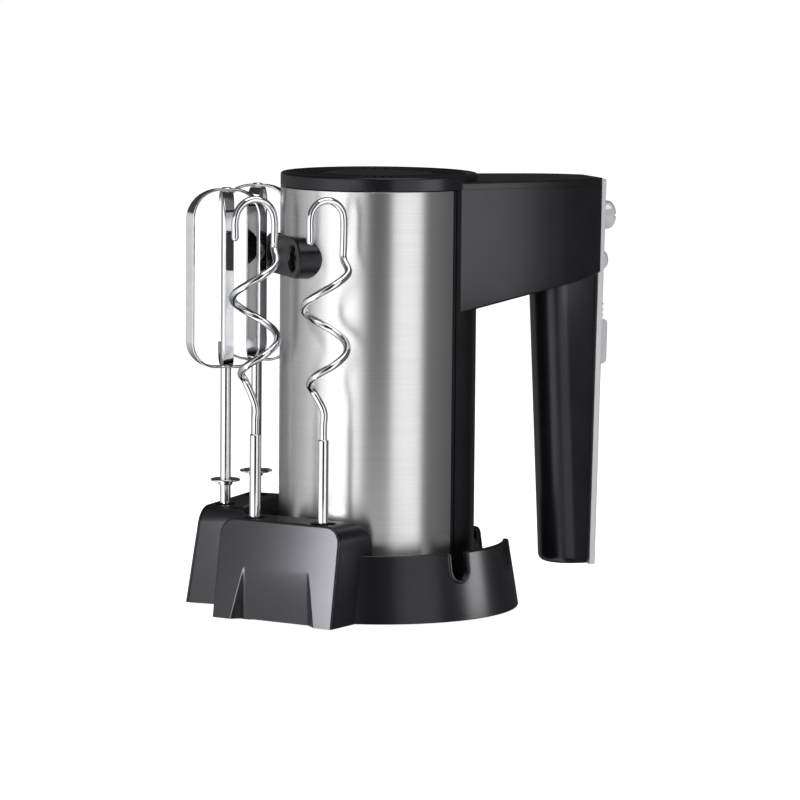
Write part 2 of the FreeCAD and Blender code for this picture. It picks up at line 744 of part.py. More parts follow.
# ---------------------------------------------------------------- motor
def make_armature():
    shaft = post(shaft_radius, shaft_bottom_z, shaft_top_z)
    save("armature_shaft", shaft)
    core = tube(armature_radius, shaft_radius, core_bottom_z, core_top_z)
    slot = box(armature_radius - 6.5, armature_radius + 2, -1.3, 1.3, core_bottom_z - 1, core_top_z + 1)
    neck = box(armature_radius - 6.5, armature_radius - 1.2, -2.6, 2.6, core_bottom_z - 1, core_top_z + 1)
    slots = [turned(join([slot, neck]), angle) for angle in range(0, 360, 30)]
    save("armature_core", core.cut(slots))
    coils = []
    for low, high in ((core_bottom_z - 9, core_bottom_z), (core_top_z, core_top_z + 9)):
        coils.append(tube(armature_radius - 1.8, shaft_radius + 4.5, low, high))
    save("armature_windings", group(coils))
    commutator = tube(10.0, shaft_radius, 50, 63)
    grooves = [turned(box(9.2, 12, -0.25, 0.25, 49, 64), angle) for angle in range(0, 360, 15)]
    save("commutator", commutator.cut(grooves))
    hub = tube(8.0, shaft_radius, 137, 149)
    disc = tube(fan_radius, 7.0, 137, 138.5)
    blades = [turned(box(7.5, fan_radius - 0.5, -0.7, 0.7, 138, 147), angle) for angle in range(0, 360, 30)]
    save("cooling_fan", join([hub, disc] + blades))


def make_stator():
    bore = armature_radius + air_gap
    core = tube(stator_radius, bore, core_bottom_z, core_top_z)
    pockets, coils = [], []
    for middle in (90, 270):
        pockets.append(sector(27.0, bore - 1, core_bottom_z - 1, core_top_z + 1, middle, 42))
        coils.append(sector(26.6, bore + 0.6, core_bottom_z - 8, core_top_z + 8, middle, 38))
    save("field_core", core.cut(pockets))
    save("field_coils", group(coils))
    ribs = [turned(box(stator_radius, tube_inner, -2, 2, core_bottom_z, core_top_z), angle)
            for angle in (45, 135, 225, 315)]
    mount = join([tube(stator_radius + 2.0, stator_radius, core_bottom_z, core_top_z)] + ribs)
    save("stator_mount", mount.common(post(tube_inner, 0, 300)))


def make_bearings():
    """Bearing brackets across the body, and the two bearings of the armature shaft."""
    seat = bearing_radius
    places = ((shaft_bottom_z + 1, "rear_bracket"), (151.0, "front_bracket"))
    bearings = []
    for low, name in places:
        plate = post(tube_inner, low, low + 3)
        hub = post(seat + 2.5, low, low + bearing_height + 1)
        bracket = join([plate, hub]).cut([post(seat, low + 1, low + 20),
                                          post(shaft_radius + 1.5, low - 1, low + 3)])
        holes = [turned(sector(38, 18, low - 1, low + 4, 0, 16), angle) for angle in (0, 60, 120, 180,
                                                                                      240, 300)]
        save(name, bracket.cut(holes))
        bearings.append(tube(seat, shaft_radius + running_gap, low + 1, low + 1 + bearing_height))
    save("shaft_bearings", group(bearings))


def make_brushes():
    holders, brushes = [], []
    for side in (-1, 1):
        holder = box(12.0, 30.0, -5, 5, 52, 61)
        channel = box(11.0, 31.0, -3.2, 3.2, 54, 59)
        brush = box(10.4, 22.0, -3.1, 3.1, 54.1, 58.9)
        angle = 90 * side
        holders.append(turned(holder.cut(channel), angle))
        brushes.append(turned(brush, angle))
    save("brush_holders", group(holders))
    save("carbon_brushes", group(brushes))
    plate = tube(tube_inner, 24.0, 48, 51).cut([turned(box(20, 50, -14, 14, 40, 60), angle)
                                                for angle in (0, 180)])
    posts = [turned(box(24.5, 29.5, -5, 5, 51, 52), side * 90) for side in (-1, 1)]
    save("brush_plate", join([plate] + posts))


# ---------------------------------------------------------------- gears
def worm_section(z):
    """Two lobes, one a start, turned to suit the height."""
    turn = 2 * math.pi * (z - spindle_z) / worm_lead + math.pi / 2
    points = []
    for start in range(worm_starts):
        for radius, degrees in ((worm_root_radius, -54), (worm_tip_radius, -20),
                                (worm_tip_radius, 20), (worm_root_radius, 54)):
            angle = turn + math.pi * start + math.radians(degrees)
            points.append(V(radius * math.cos(angle), radius * math.sin(angle), z))
    return Part.makePolygon(points + points[:1])


def make_worm():
    steps = 44
    low, high = spindle_z - 8.0, spindle_z + 8.0
    sections = [worm_section(low + (high - low) * i / steps) for i in range(steps + 1)]
    worm = Part.makeLoft(sections, True, True)
    save("worm", worm.cut(post(shaft_radius, low - 1, high + 1)))


def worm_wheel():
    """A wheel whose teeth lean with the worm's thread, meshing towards -Y."""
    rim_radius = wheel_pitch_radius - gear_module - tooth_clearance
    tip_radius = wheel_pitch_radius + gear_module * 0.75
    half = wheel_width / 2.0
    lean = half * worm_lead / (2 * math.pi * worm_pitch_radius)
    foot, tip = 0.62, 0.3
    outline = [(-half, -rim_radius + 0.4, -foot + lean), (-half, -tip_radius, -tip + lean),
               (-half, -tip_radius, tip + lean), (-half, -rim_radius + 0.4, foot + lean)]
    tooth = prism(outline, V(wheel_width, 0, -2 * lean))
    pitch = 360.0 / wheel_teeth
    teeth = [turned(tooth, (i + 0.5) * pitch, axis=X_DIR) for i in range(wheel_teeth)]
    rim = bar(rim_radius, -half, half, 0, 0)
    return rim.fuse(teeth).cut(bar(spindle_radius, -half - 1, half + 1, 0, 0))


def make_spindles():
    wheel = worm_wheel()
    far_wheel = moved(wheel, 0, spindle_y, spindle_z)
    near_wheel = moved(turned(wheel, 180), 0, -spindle_y, spindle_z)
    for name, y, placed in (("left", -spindle_y, near_wheel), ("right", spindle_y, far_wheel)):
        save(name + "_worm_wheel", placed)
        spindle = bar(spindle_radius, spindle_mouth_x, spindle_rear_x, y, spindle_z)
        socket = bar(socket_radius, spindle_mouth_x - 1, spindle_mouth_x + socket_depth, y, spindle_z)
        channel = bar(push_channel_radius, spindle_mouth_x, spindle_rear_x + 1, y, spindle_z)
        slot_x = spindle_mouth_x + 14.0
        slot = box(spindle_mouth_x - 1, slot_x, y - lug_span / 2.0 - 0.2, y + lug_span / 2.0 + 0.2,
                   spindle_z - lug_thickness / 2.0 - 0.2, spindle_z + lug_thickness / 2.0 + 0.2)
        save(name + "_spindle", spindle.cut([socket, channel, slot]))


def make_gearbox():
    frame_y, low, high = 25.0, 154.0, 186.5
    front_x, rear_x, plate = nose_inner_x + 0.3, 5.0, 3.0
    front = box(front_x, front_x + plate, -frame_y, frame_y, low, high)
    rear = box(rear_x, rear_x + plate - 0.4, -frame_y, frame_y, low, high)
    rails = [box(front_x, rear_x + plate - 0.4, side * (frame_y + 1.5) - 1.5,
                 side * (frame_y + 1.5) + 1.5, low, high)
             for side in (-1, 1)]
    seats = [bar(7.0, front_x, front_x + 9, side * spindle_y, spindle_z) for side in (-1, 1)]
    bores = [bar(6.4, front_x - 1, front_x + 12, side * spindle_y, spindle_z) for side in (-1, 1)]
    rear_bores = [bar(6.4, rear_x - 1, rear_x + 6, side * spindle_y, spindle_z) for side in (-1, 1)]
    wheel_room = wheel_pitch_radius + gear_module + 0.6
    wheels = [bar(wheel_room, -wheel_width / 2.0 - 0.6, wheel_width / 2.0 + 0.6, side * spindle_y,
                  spindle_z)
              for side in (-1, 1)]
    hub = post(bearing_radius + 3.0, low - 1, low + 4.6)
    frame = join([front, rear] + rails + seats).common(post(tube_inner - 0.3, 0, 300))
    frame = frame.cut(bores + rear_bores + wheels + [post(worm_tip_radius + 0.9, low - 1, high + 1), hub])
    save("gearbox_frame", frame)
    bushes = []
    for side in (-1, 1):
        for x0, x1 in ((front_x, front_x + 9), (rear_x, rear_x + plate - 0.4)):
            bush = bar(6.4, x0, x1, side * spindle_y, spindle_z)
            bushes.append(bush.cut(bar(spindle_radius + running_gap, x0 - 1, x1 + 1, side * spindle_y,
                                       spindle_z)))
    save("spindle_bushes", group(bushes))


# ---------------------------------------------------------------- tools
def shank(low, high, x, y):
    """The drive end shared by every tool: a rod with two small wings near its foot."""
    rod = post(shank_radius, low, high, x, y)
    rod = rounded(rod, 0.8, lambda b: b.ZMax < low + 0.1)
    wings = box(x - lug_span / 2.0, x + lug_span / 2.0, y - lug_thickness / 2.0, y + lug_thickness / 2.0,
                low + 6, low + 12)
    return join([rod, wings])


def blade_loop(half_width, low, high, corner):
    """A flat strip bent into an upright loop in the XZ plane, round the shank."""
    outer = loop_face(half_width, low, high, corner)
    inner = loop_face(half_width - blade_thickness, low + blade_thickness, high - blade_thickness,
                      corner - blade_thickness)
    sweep = V(0, blade_width, 0)
    ring = outer.extrude(sweep).cut(inner.extrude(sweep))
    return moved(ring, y=-blade_width / 2.0)


def loop_face(half, low, high, corner):
    """A rounded rectangle from low to high in the XZ plane."""
    k = corner * (1 - math.sqrt(0.5))
    left, right = -half, half
    edges = [Part.LineSegment(V(left + corner, 0, low), V(right - corner, 0, low)),
             Part.Arc(V(right - corner, 0, low), V(right - k, 0, low + k), V(right, 0, low + corner)),
             Part.LineSegment(V(right, 0, low + corner), V(right, 0, high - corner)),
             Part.Arc(V(right, 0, high - corner), V(right - k, 0, high - k), V(right - corner, 0, high)),
             Part.LineSegment(V(right - corner, 0, high), V(left + corner, 0, high)),
             Part.Arc(V(left + corner, 0, high), V(left + k, 0, high - k), V(left, 0, high - corner)),
             Part.LineSegment(V(left, 0, high - corner), V(left, 0, low + corner)),
             Part.Arc(V(left, 0, low + corner), V(left + k, 0, low + k), V(left + corner, 0, low))]
    return Part.Face(Part.Wire([edge.toShape() for edge in edges]))


def make_beater(name, inner, yaw, notched):
    x, y = tool_place(1, inner)
    rod = shank(tool_foot_z, whisk_high_z + 0.6, x, y)
    save(name + "_shank", rod)
    corner = whisk_half_width - 3.0
    outside = blade_loop(whisk_half_width, whisk_low_z, whisk_high_z, corner)
    inside = blade_loop(whisk_half_width - 0.6, whisk_low_z + blade_thickness,
                        whisk_high_z - blade_thickness,
                        corner - 0.6)
    cutter = post(shank_radius, 0, 300)
    loops = [turned(outside.cut(cutter), yaw), turned(inside.cut(cutter), yaw + 90)]
    save(name + "_blades", group([moved(loop, x, y) for loop in loops]))
    collar = tube(collar_radius + (0.8 if notched else 0.0), shank_radius, collar_z,
                  collar_z + collar_thickness)
    collar = join([collar, tube(collar_hub_radius, shank_radius, collar_z - collar_hub_height, collar_z)])
    if notched:
        collar = collar.cut([turned(box(6.4, 12, -0.9, 0.9, 0, 100), angle) for angle in range(0, 360, 45)])
    save(name + "_collar", moved(collar, x, y))


def rounded_path(points, share):
    """Straight runs joined by tangent arcs: each arc takes a share of its shorter run."""
    edges = []
    start = points[0]
    for before, corner, after in zip(points, points[1:], points[2:]):
        back, ahead = before - corner, after - corner
        cut = min(back.Length, ahead.Length) * share
        back.normalize()
        ahead.normalize()
        first, last = corner + back * cut, corner + ahead * cut
        half_turn = math.acos(max(-1.0, min(1.0, -back.dot(ahead)))) / 2.0
        radius = cut / math.tan(half_turn)
        inward = back + ahead
        inward.normalize()
        middle = corner + inward * (radius / math.cos(half_turn) - radius)
        edges.append(Part.LineSegment(start, first).toShape())
        edges.append(Part.Arc(first, middle, last).toShape())
        start = last
    edges.append(Part.LineSegment(start, points[-1]).toShape())
    return Part.Wire(edges)


def hook_route(loop_radius, loop_top_z):
    """The wire of a dough hook: up from the ferrule, a helix, a leg and a closing loop."""
    points = [V(0, 0, ferrule_top_z - 4), V(0, 0, helix_low_z - 7.5)]
    for i in range(helix_steps + 1):
        share = i / helix_steps
        angle = math.radians(helix_start_angle + 360 * helix_turns * share)
        reach = hook_radius * min(1.0, 0.45 + share * 3.2)
        points.append(V(reach * math.cos(angle), reach * math.sin(angle),
                        helix_low_z + (helix_high_z - helix_low_z) * share))
    leg, shoulder = loop_radius, loop_radius * 0.72
    side_z, shoulder_z, end_z = loop_top_z - 11, loop_top_z - 3, loop_top_z - loop_fall
    points += [V(leg, 0, loop_top_z - 20.5), V(leg, 0, side_z), V(shoulder, 0, shoulder_z),
               V(0, 0, loop_top_z),
               V(-shoulder, 0, shoulder_z), V(-leg, 0, side_z), V(-leg, 0, end_z)]
    return points


def make_hook(name, inner, loop_radius, loop_top_z):
    x, y = tool_place(-1, inner)
    path = rounded_path(hook_route(loop_radius, loop_top_z), 0.45)
    start = path.Edges[0].Vertexes[0].Point
    circle = Part.Wire([Part.Circle(start, Z_DIR, wire_radius).toShape()])
    wire = path.makePipeShell([circle], True, False)
    ferrule = shank(tool_foot_z, ferrule_top_z, x, y)
    wire = moved(wire, x, y)
    save(name + "_wire", wire)
    save(name + "_ferrule", ferrule.cut(post(wire_radius, ferrule_top_z - 4, ferrule_top_z + 1, x, y)))


def main():
    os.makedirs("parts", exist_ok=True)
    make_base_shell()
    make_base_floor()
    make_base_screws()
    make_rubber_feet()
    make_housing()
    make_front_cover()
    make_front_inlay()
    make_cover_screws()
    make_sleeve()
    make_heel_cover()
    make_heel_screws()
    make_cord_inlet()
    make_nose()
    make_control_strip()
    make_eject()
    make_turbo()
    make_speed_slider()
    make_electronics()
    make_armature()
    make_stator()
    make_bearings()
    make_brushes()
    make_worm()
    make_spindles()
    make_gearbox()
    make_hook("left_dough_hook", -1, left_loop_radius, left_loop_top_z)
    make_hook("right_dough_hook", 1, right_loop_radius, right_loop_top_z)
    make_beater("left_beater", -1, left_whisk_turn, False)
    make_beater("right_beater", 1, right_whisk_turn, True)


main()
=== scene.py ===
import json
import bmesh
import bpy
import numpy as np
from numpy import (array, clip, concatenate, cos, full, linspace, maximum,
    meshgrid, minimum, ones, pi, radians, sin, sqrt, where)
from mathutils import Matrix, Vector


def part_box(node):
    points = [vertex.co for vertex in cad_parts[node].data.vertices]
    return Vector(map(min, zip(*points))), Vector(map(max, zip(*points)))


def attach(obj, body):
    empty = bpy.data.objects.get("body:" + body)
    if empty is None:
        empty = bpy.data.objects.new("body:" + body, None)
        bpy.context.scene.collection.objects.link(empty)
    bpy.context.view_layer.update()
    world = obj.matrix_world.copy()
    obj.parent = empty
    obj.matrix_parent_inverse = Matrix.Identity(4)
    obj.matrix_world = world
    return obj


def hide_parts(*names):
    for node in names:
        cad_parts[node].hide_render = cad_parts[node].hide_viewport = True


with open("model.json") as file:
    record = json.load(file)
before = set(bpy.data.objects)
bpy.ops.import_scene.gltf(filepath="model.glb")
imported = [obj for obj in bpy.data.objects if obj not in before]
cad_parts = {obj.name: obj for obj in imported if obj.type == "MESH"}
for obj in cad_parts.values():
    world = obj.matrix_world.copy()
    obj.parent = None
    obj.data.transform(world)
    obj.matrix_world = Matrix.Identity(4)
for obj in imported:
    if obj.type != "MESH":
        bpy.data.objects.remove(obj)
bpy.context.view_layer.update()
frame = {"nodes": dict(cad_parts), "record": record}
scene = bpy.context.scene
scene.view_settings.view_transform = "Standard"
mm = 0.001


# Camera
cameraPlace = dict(
    eye=(-0.66982, -2.02037, 0.33862), aim=(0.0, 0.0, 0.105),
    lens=198.96, sensor=36.0, roll=0.481, shiftX=0.0283, shiftY=-0.0138,
)


def makeCamera(size):
    # Right, up and back are worked out from the line of sight, then turned about it by the roll
    data = bpy.data.cameras.new("mixerCamera")
    data.lens, data.sensor_width = size["lens"], size["sensor"]
    data.shift_x, data.shift_y = size["shiftX"], size["shiftY"]
    data.clip_start, data.clip_end = 0.05, 50
    camera = bpy.data.objects.new("mixerCamera", data)
    eye, aim = Vector(size["eye"]), Vector(size["aim"])
    back = (eye - aim).normalized()
    right = Vector((0, 0, 1)).cross(back).normalized()
    up = back.cross(right)
    turn = radians(size["roll"])
    right, up = right * cos(turn) + up * sin(turn), up * cos(turn) - right * sin(turn)
    matrix = Matrix((right, up, back)).transposed().to_4x4()
    matrix.translation = eye
    camera.matrix_world = matrix
    scene.collection.objects.link(camera)
    scene.camera = camera


makeCamera(cameraPlace)
print("camera placed")


# Making surfaces
def smooth(obj, sharp=38.0):
    mesh = obj.data
    mesh.polygons.foreach_set("use_smooth", ones(len(mesh.polygons), bool))
    mesh.set_sharp_from_angle(angle=radians(sharp))


def putMesh(name, parts, sharp=38.0):
    # Points in millimetres and their faces become one object; points that touch are merged
    verts, faces, count = [], [], 0
    for points, cells in parts:
        verts.append(np.asarray(points, float).reshape(-1, 3))
        faces += [[corner + count for corner in cell] for cell in cells]
        count += len(verts[-1])
    mesh = bpy.data.meshes.new(name)
    mesh.from_pydata((concatenate(verts) * mm).tolist(), [], faces)
    shape = bmesh.new()
    shape.from_mesh(mesh)
    bmesh.ops.remove_doubles(shape, verts=shape.verts, dist=2e-7)
    bmesh.ops.dissolve_degenerate(shape, edges=shape.edges, dist=1e-7)
    bmesh.ops.recalc_face_normals(shape, faces=shape.faces)
    shape.to_mesh(mesh)
    shape.free()
    obj = bpy.data.objects.new(name, mesh)
    scene.collection.objects.link(obj)
    smooth(obj, sharp)
    return obj


def pointsOf(*coordinates):
    # Numbers and grids of numbers for each axis, spread to one size, become points
    return np.stack(np.broadcast_arrays(*coordinates), -1)


def gridFaces(rows, cols, wrapRows=False, wrapCols=False):
    # The four corners of every cell of a grid of points
    i, j = meshgrid(np.arange(rows if wrapRows else rows - 1),
        np.arange(cols if wrapCols else cols - 1), indexing="ij")
    k, l = (i + 1) % rows, (j + 1) % cols
    return pointsOf(i * cols + j, k * cols + j, k * cols + l, i * cols + l).reshape(-1, 4).tolist()


def loft(sections, closed=False, caps=True):
    # sections[stop, point]: one loop of points for each stop along a path, its two ends filled
    rows, cols = sections.shape[:2]
    faces = gridFaces(rows, cols, closed, True)
    if caps and not closed:
        faces += [list(range(cols)), list(range((rows - 1) * cols, rows * cols))]
    return sections.reshape(-1, 3), faces


def filleted(corners, radii, closed=True, steps=6):
    # Straight lines whose corners are arcs: each arc's centre lies radius / sin(half angle) from its corner
    corners = np.asarray(corners, float)
    last, runs = len(corners) - 1, []
    for i, (corner, radius) in enumerate(zip(corners, radii)):
        if radius == 0 or (not closed and i in (0, last)):
            runs.append(corner[None])
            continue
        a, b = corners[i - 1] - corner, corners[(i + 1) % (last + 1)] - corner
        a, b = a / np.linalg.norm(a), b / np.linalg.norm(b)
        half = np.arccos(clip(a @ b, -1, 1)) / 2
        centre = corner + (a + b) / np.linalg.norm(a + b) * radius / sin(half)
        start, end = corner + a * radius / np.tan(half) - centre, corner + b * radius / np.tan(half) - centre
        sweep = pi - 2 * half
        t = linspace(0, 1, steps)[:, None]
        runs.append(centre + (sin((1 - t) * sweep) * start + sin(t * sweep) * end) / sin(sweep))
    return concatenate(runs)


def revolved(profile, centre, axis="z", steps=96, reach=None):
    # A profile of (along, radius) turned round an axis; reach can change the radius by angle
    angle = linspace(0, 2 * pi, steps, endpoint=False)
    along, radius = np.asarray(profile, float).T
    wide = radius[:, None] * ones(steps)
    if reach is not None:
        wide = reach(wide, angle[None, :])
    a, b = wide * cos(angle), wide * sin(angle)
    c = along[:, None] + 0 * a
    points = np.stack([c, a, b] if axis == "x" else [a, b, c], -1) + np.asarray(centre, float)
    return points.reshape(-1, 3), gridFaces(len(along), steps, False, True)


def tubeAlong(path, radius, sides=24, capSteps=6):
    # A circle carried along the path, turned as little as possible, with half-round ends
    tangent = np.gradient(path, axis=0)
    tangent /= np.linalg.norm(tangent, axis=1)[:, None]
    side = np.cross(tangent[0], (0.31, 0.87, 0.12))
    sidesAlong = []
    for direction in tangent:
        side = side - direction * (side @ direction)
        side = side / np.linalg.norm(side)
        sidesAlong.append(side)
    side = array(sidesAlong)
    other = np.cross(tangent, side)
    bend = linspace(pi / 2, 0, capSteps, endpoint=False)[:, None]
    path = concatenate([path[0] - tangent[0] * radius * sin(bend), path,
        path[-1] + tangent[-1] * radius * sin(bend[::-1])])
    size = concatenate([cos(bend[:, 0]), ones(len(side)), cos(bend[::-1, 0])]) * radius
    side = concatenate([np.repeat(side[:1], capSteps, 0), side, np.repeat(side[-1:], capSteps, 0)])
    other = concatenate([np.repeat(other[:1], capSteps, 0), other, np.repeat(other[-1:], capSteps, 0)])
    angle = linspace(0, 2 * pi, sides, endpoint=False)[None, :, None]
    rings = path[:, None] + size[:, None, None] * (cos(angle) * side[:, None] + sin(angle) * other[:, None])
    return loft(rings, caps=False)


def smoothRun(points, perRun=12):
    # A cubic through every point, whose slope there is half the step between its neighbours
    p = np.asarray(points, float)
    p = concatenate([2 * p[:1] - p[1:2], p, 2 * p[-1:] - p[-2:-1]])
    a, b, c, d = p[:-3, None], p[1:-2, None], p[2:-1, None], p[3:, None]
    t = linspace(0, 1, perRun, endpoint=False)[None, :, None]
    run = 0.5 * (2 * b + (c - a) * t + (2 * a - 5 * b + 4 * c - d) * t ** 2 + (3 * b - a - 3 * c + d)
        * t ** 3)
    return concatenate([run.reshape(-1, 3), p[-2:-1]])


def carve(obj, others, how="DIFFERENCE", sharp=38.0):
    # Joins other closed shapes to obj or cuts them out of it, and keeps only the result
    for other in others:
        tool = obj.modifiers.new("carve", "BOOLEAN")
        tool.operation, tool.solver, tool.object = how, "EXACT", other
    bpy.context.view_layer.update()
    result = bpy.data.meshes.new_from_object(obj.evaluated_get(bpy.context.evaluated_depsgraph_get()))
    obj.modifiers.clear()
    spent, obj.data = obj.data, result
    result.name = obj.name
    bpy.data.meshes.remove(spent)
    for other in others:
        bpy.data.objects.remove(other)
    smooth(obj, sharp)
    return obj


def placeOf(node):
    # The middle of a CAD node in plan, in millimetres
    low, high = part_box(node)
    return (low.x + high.x) / 2 / mm, (low.y + high.y) / 2 / mm


def span(node, axis):
    low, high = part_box(node)
    return low[axis] / mm, high[axis] / mm


def seat(obj, body, slot, *nodes):
    even = obj.modifiers.new("evenShading", "WEIGHTED_NORMAL")
    even.weight, even.keep_sharp = 80, True
    obj.data.materials.clear()
    obj.data.materials.append(finishes[slot])
    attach(obj, body)
    if nodes:
        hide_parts(*nodes)
    return obj


# Finishes
def newFinish(name, colour, metallic, roughness):
    material = bpy.data.materials.new(name)
    material.use_nodes = True
    shader = material.node_tree.nodes["Principled BSDF"]
    shader.inputs["Base Color"].default_value = (*colour, 1)
    shader.inputs["Metallic"].default_value = metallic
    shader.inputs["Roughness"].default_value = roughness
    return material, material.node_tree.nodes, material.node_tree.links, shader


def newNode(nodes, kind, **values):
    # A shader node with some sockets set; an underscore stands for a space in a socket's name
    node = nodes.new("ShaderNode" + kind)
    for name, value in values.items():
        node.inputs[name.replace("_", " ")].default_value = value
    return node


def noiseOn(nodes, links, scale, detail=3.0, stretch=(1, 1, 1), source="Object", rough=0.55):
    # Soft noise whose grains are 1 / scale metres, stretched along each axis
    mapping = newNode(nodes, "Mapping", Scale=stretch)
    noise = newNode(nodes, "TexNoise", Scale=scale, Detail=detail, Roughness=rough)
    links.new(nodes.new("ShaderNodeTexCoord").outputs[source], mapping.inputs["Vector"])
    links.new(mapping.outputs["Vector"], noise.inputs["Vector"])
    return noise.outputs["Fac"]


def ranged(nodes, links, value, low, high):
    # Carries noise from its usual 0.25 to 0.75 into low to high
    ranger = newNode(nodes, "MapRange", From_Min=0.25, From_Max=0.75, To_Min=low, To_Max=high)
    links.new(value, ranger.inputs["Value"])
    return ranger.outputs["Result"]


def tinted(nodes, links, value, dark, light):
    ramp = nodes.new("ShaderNodeValToRGB")
    ramp.color_ramp.elements[0].position, ramp.color_ramp.elements[1].position = 0.3, 0.7
    ramp.color_ramp.elements[0].color, ramp.color_ramp.elements[1].color = (*dark, 1), (*light, 1)
    links.new(value, ramp.inputs["Fac"])
    return ramp.outputs["Color"]


def bumped(nodes, links, value, strength, depth, shader):
    bump = newNode(nodes, "Bump", Strength=strength, Distance=depth)
    links.new(value, bump.inputs["Height"])
    links.new(bump.outputs["Normal"], shader.inputs["Normal"])


def plasticFinish(name, dark, light, rough, grain=2600, relief=0.14, specular=0.5):
    # Moulded plastic: a fine spark-eroded grain, faint cloudy gloss and a slow change of tone
    material, nodes, links, shader = newFinish(name, light, 0, rough)
    shader.inputs["Specular IOR Level"].default_value = specular
    shader.inputs["Specular Tint"].default_value = (0.93, 0.92, 1.0, 1)
    links.new(tinted(nodes, links, noiseOn(nodes, links, 45, 2), dark, light), shader.inputs["Base Color"])
    gloss = ranged(nodes, links, noiseOn(nodes, links, 160, 4), rough * 0.96, rough * 1.05)
    links.new(gloss, shader.inputs["Roughness"])
    bumped(nodes, links, noiseOn(nodes, links, grain, 2), relief, 0.00004, shader)
    return material


def metalFinish(name, dark, light, rough, grain=220, relief=0.05, spread=0.35, metallic=1.0,
        stretch=(1, 1, 1)):
    # Plated or turned metal: colour and gloss drift a little, with fine marks
    material, nodes, links, shader = newFinish(name, light, metallic, rough)
    marks = noiseOn(nodes, links, grain, 5, stretch)
    links.new(tinted(nodes, links, marks, dark, light), shader.inputs["Base Color"])
    cloud = noiseOn(nodes, links, grain * 0.4, 3)
    gloss = ranged(nodes, links, cloud, rough * (1 - spread), rough * (1 + spread))
    links.new(gloss, shader.inputs["Roughness"])
    bumped(nodes, links, marks, relief, 0.00003, shader)
    return material


brushing = dict(along=16.0, across=3200.0, light=(0.65, 0.65, 0.655), dark=(0.55, 0.55, 0.555),
    rough=0.31, anisotropy=0.6, turn=0.25)


def brushedFinish(name, size):
    # Long hair lines round the tube: noise on the sleeve's own map, long round it and short up it
    material, nodes, links, shader = newFinish(name, size["light"], 1, size["rough"])
    hair = noiseOn(nodes, links, 1.0, 4.0, (size["along"], size["across"], 1), "UV", 0.7)
    links.new(tinted(nodes, links, hair, size["dark"], size["light"]), shader.inputs["Base Color"])
    links.new(ranged(nodes, links, hair, size["rough"] * 1.1, size["rough"] * 0.92),
        shader.inputs["Roughness"])
    shader.inputs["Anisotropic"].default_value = size["anisotropy"]
    shader.inputs["Anisotropic Rotation"].default_value = size["turn"]
    tangent = nodes.new("ShaderNodeTangent")
    tangent.direction_type, tangent.uv_map = "UV_MAP", "roundTheTube"
    links.new(tangent.outputs["Tangent"], shader.inputs["Tangent"])
    bumped(nodes, links, hair, 0.035, 0.00002, shader)
    return material


finishes = {
    "black_plastic": plasticFinish("blackPlastic", (0.0040, 0.0040, 0.0050), (0.0060, 0.0060, 0.0072), 0.26,
        2600, 0.025, 0.36),
    "inner_plastic": plasticFinish("innerPlastic", (0.20, 0.20, 0.19), (0.27, 0.27, 0.26), 0.5),
    "silver_plastic": metalFinish("silverLacquer", (0.68, 0.69, 0.71), (0.76, 0.77, 0.79), 0.34, 2600, 0.03,
        0.15, 0.5),
    "bright_chrome": metalFinish("brightChrome", (0.64, 0.65, 0.67), (0.72, 0.73, 0.75), 0.07, 260, 0.012,
        0.5),
    "brushed_sleeve": brushedFinish("brushedSleeve", brushing),
    "foot_rubber": plasticFinish("footRubber", (0.020, 0.020, 0.021), (0.035, 0.035, 0.036), 0.72, 900, 0.3,
        0.3),
    "machine_steel": metalFinish("machineSteel", (0.42, 0.42, 0.42), (0.58, 0.58, 0.57), 0.30, 600, 0.1),
    "core_iron": metalFinish("coreIron", (0.16, 0.15, 0.15), (0.26, 0.25, 0.24), 0.46, 1400, 0.25, 0.3, 1.0,
        (1, 1, 6)),
    "winding_copper": metalFinish("windingCopper", (0.42, 0.15, 0.06), (0.72, 0.30, 0.13), 0.30, 900, 0.5,
        0.3, 1.0, (1, 1, 4)),
    "bush_bronze": metalFinish("bushBronze", (0.36, 0.22, 0.10), (0.55, 0.36, 0.18), 0.38, 1500, 0.15),
    "gear_nylon": plasticFinish("gearNylon", (0.62, 0.60, 0.53), (0.74, 0.72, 0.66), 0.42, 700, 0.1),
    "frame_zinc": metalFinish("frameZinc", (0.38, 0.39, 0.40), (0.50, 0.51, 0.52), 0.52, 800, 0.3),
    "board_green": plasticFinish("boardGreen", (0.01, 0.09, 0.035), (0.02, 0.14, 0.06), 0.35, 500, 0.1),
    "brush_carbon": plasticFinish("brushCarbon", (0.012, 0.012, 0.013), (0.04, 0.04, 0.042), 0.55, 1800,
        0.3),
}
slotOf = {entry["node"]: entry["material_slot"] for entry in frame["record"]["subparts"]}
for name, node in frame["nodes"].items():
    node.data.materials.clear()
    node.data.materials.append(finishes[slotOf[name]])
print("finishes made")


# Mixer body
bodySize = dict(outer=47.5, sleeveWall=0.7, tubeOuter=46.7, tubeInner=44.4, spineHalf=59.55,
    grooveAt=57.0, grooveHalf=0.55, grooveDepth=0.6, seam=203.5, low=10.0)
noseSize = dict(face=-49.0, inner=-35.3, radius=9.6, half=28.8, z=170.6, bore=6.3, spacing=17.0, edge=1.2)


def obround(grow, count=24):
    # Two half circles joined by straight lines, as (y, z)
    across, radius = noseSize["half"] - noseSize["radius"], noseSize["radius"] + grow
    angle = linspace(-pi / 2, pi / 2, count)
    right = pointsOf(across + radius * cos(angle), noseSize["z"] + radius * sin(angle))
    left = pointsOf(-across - radius * cos(angle), noseSize["z"] - radius * sin(angle))
    return concatenate([right, left])


def along(x, outline):
    # The same outline at every x, or one outline for each
    x = np.asarray(x, float)
    outline = np.broadcast_to(outline, (len(x), *outline.shape[-2:]))
    return concatenate([np.broadcast_to(x[:, None, None], (*outline.shape[:2], 1)), outline], -1)


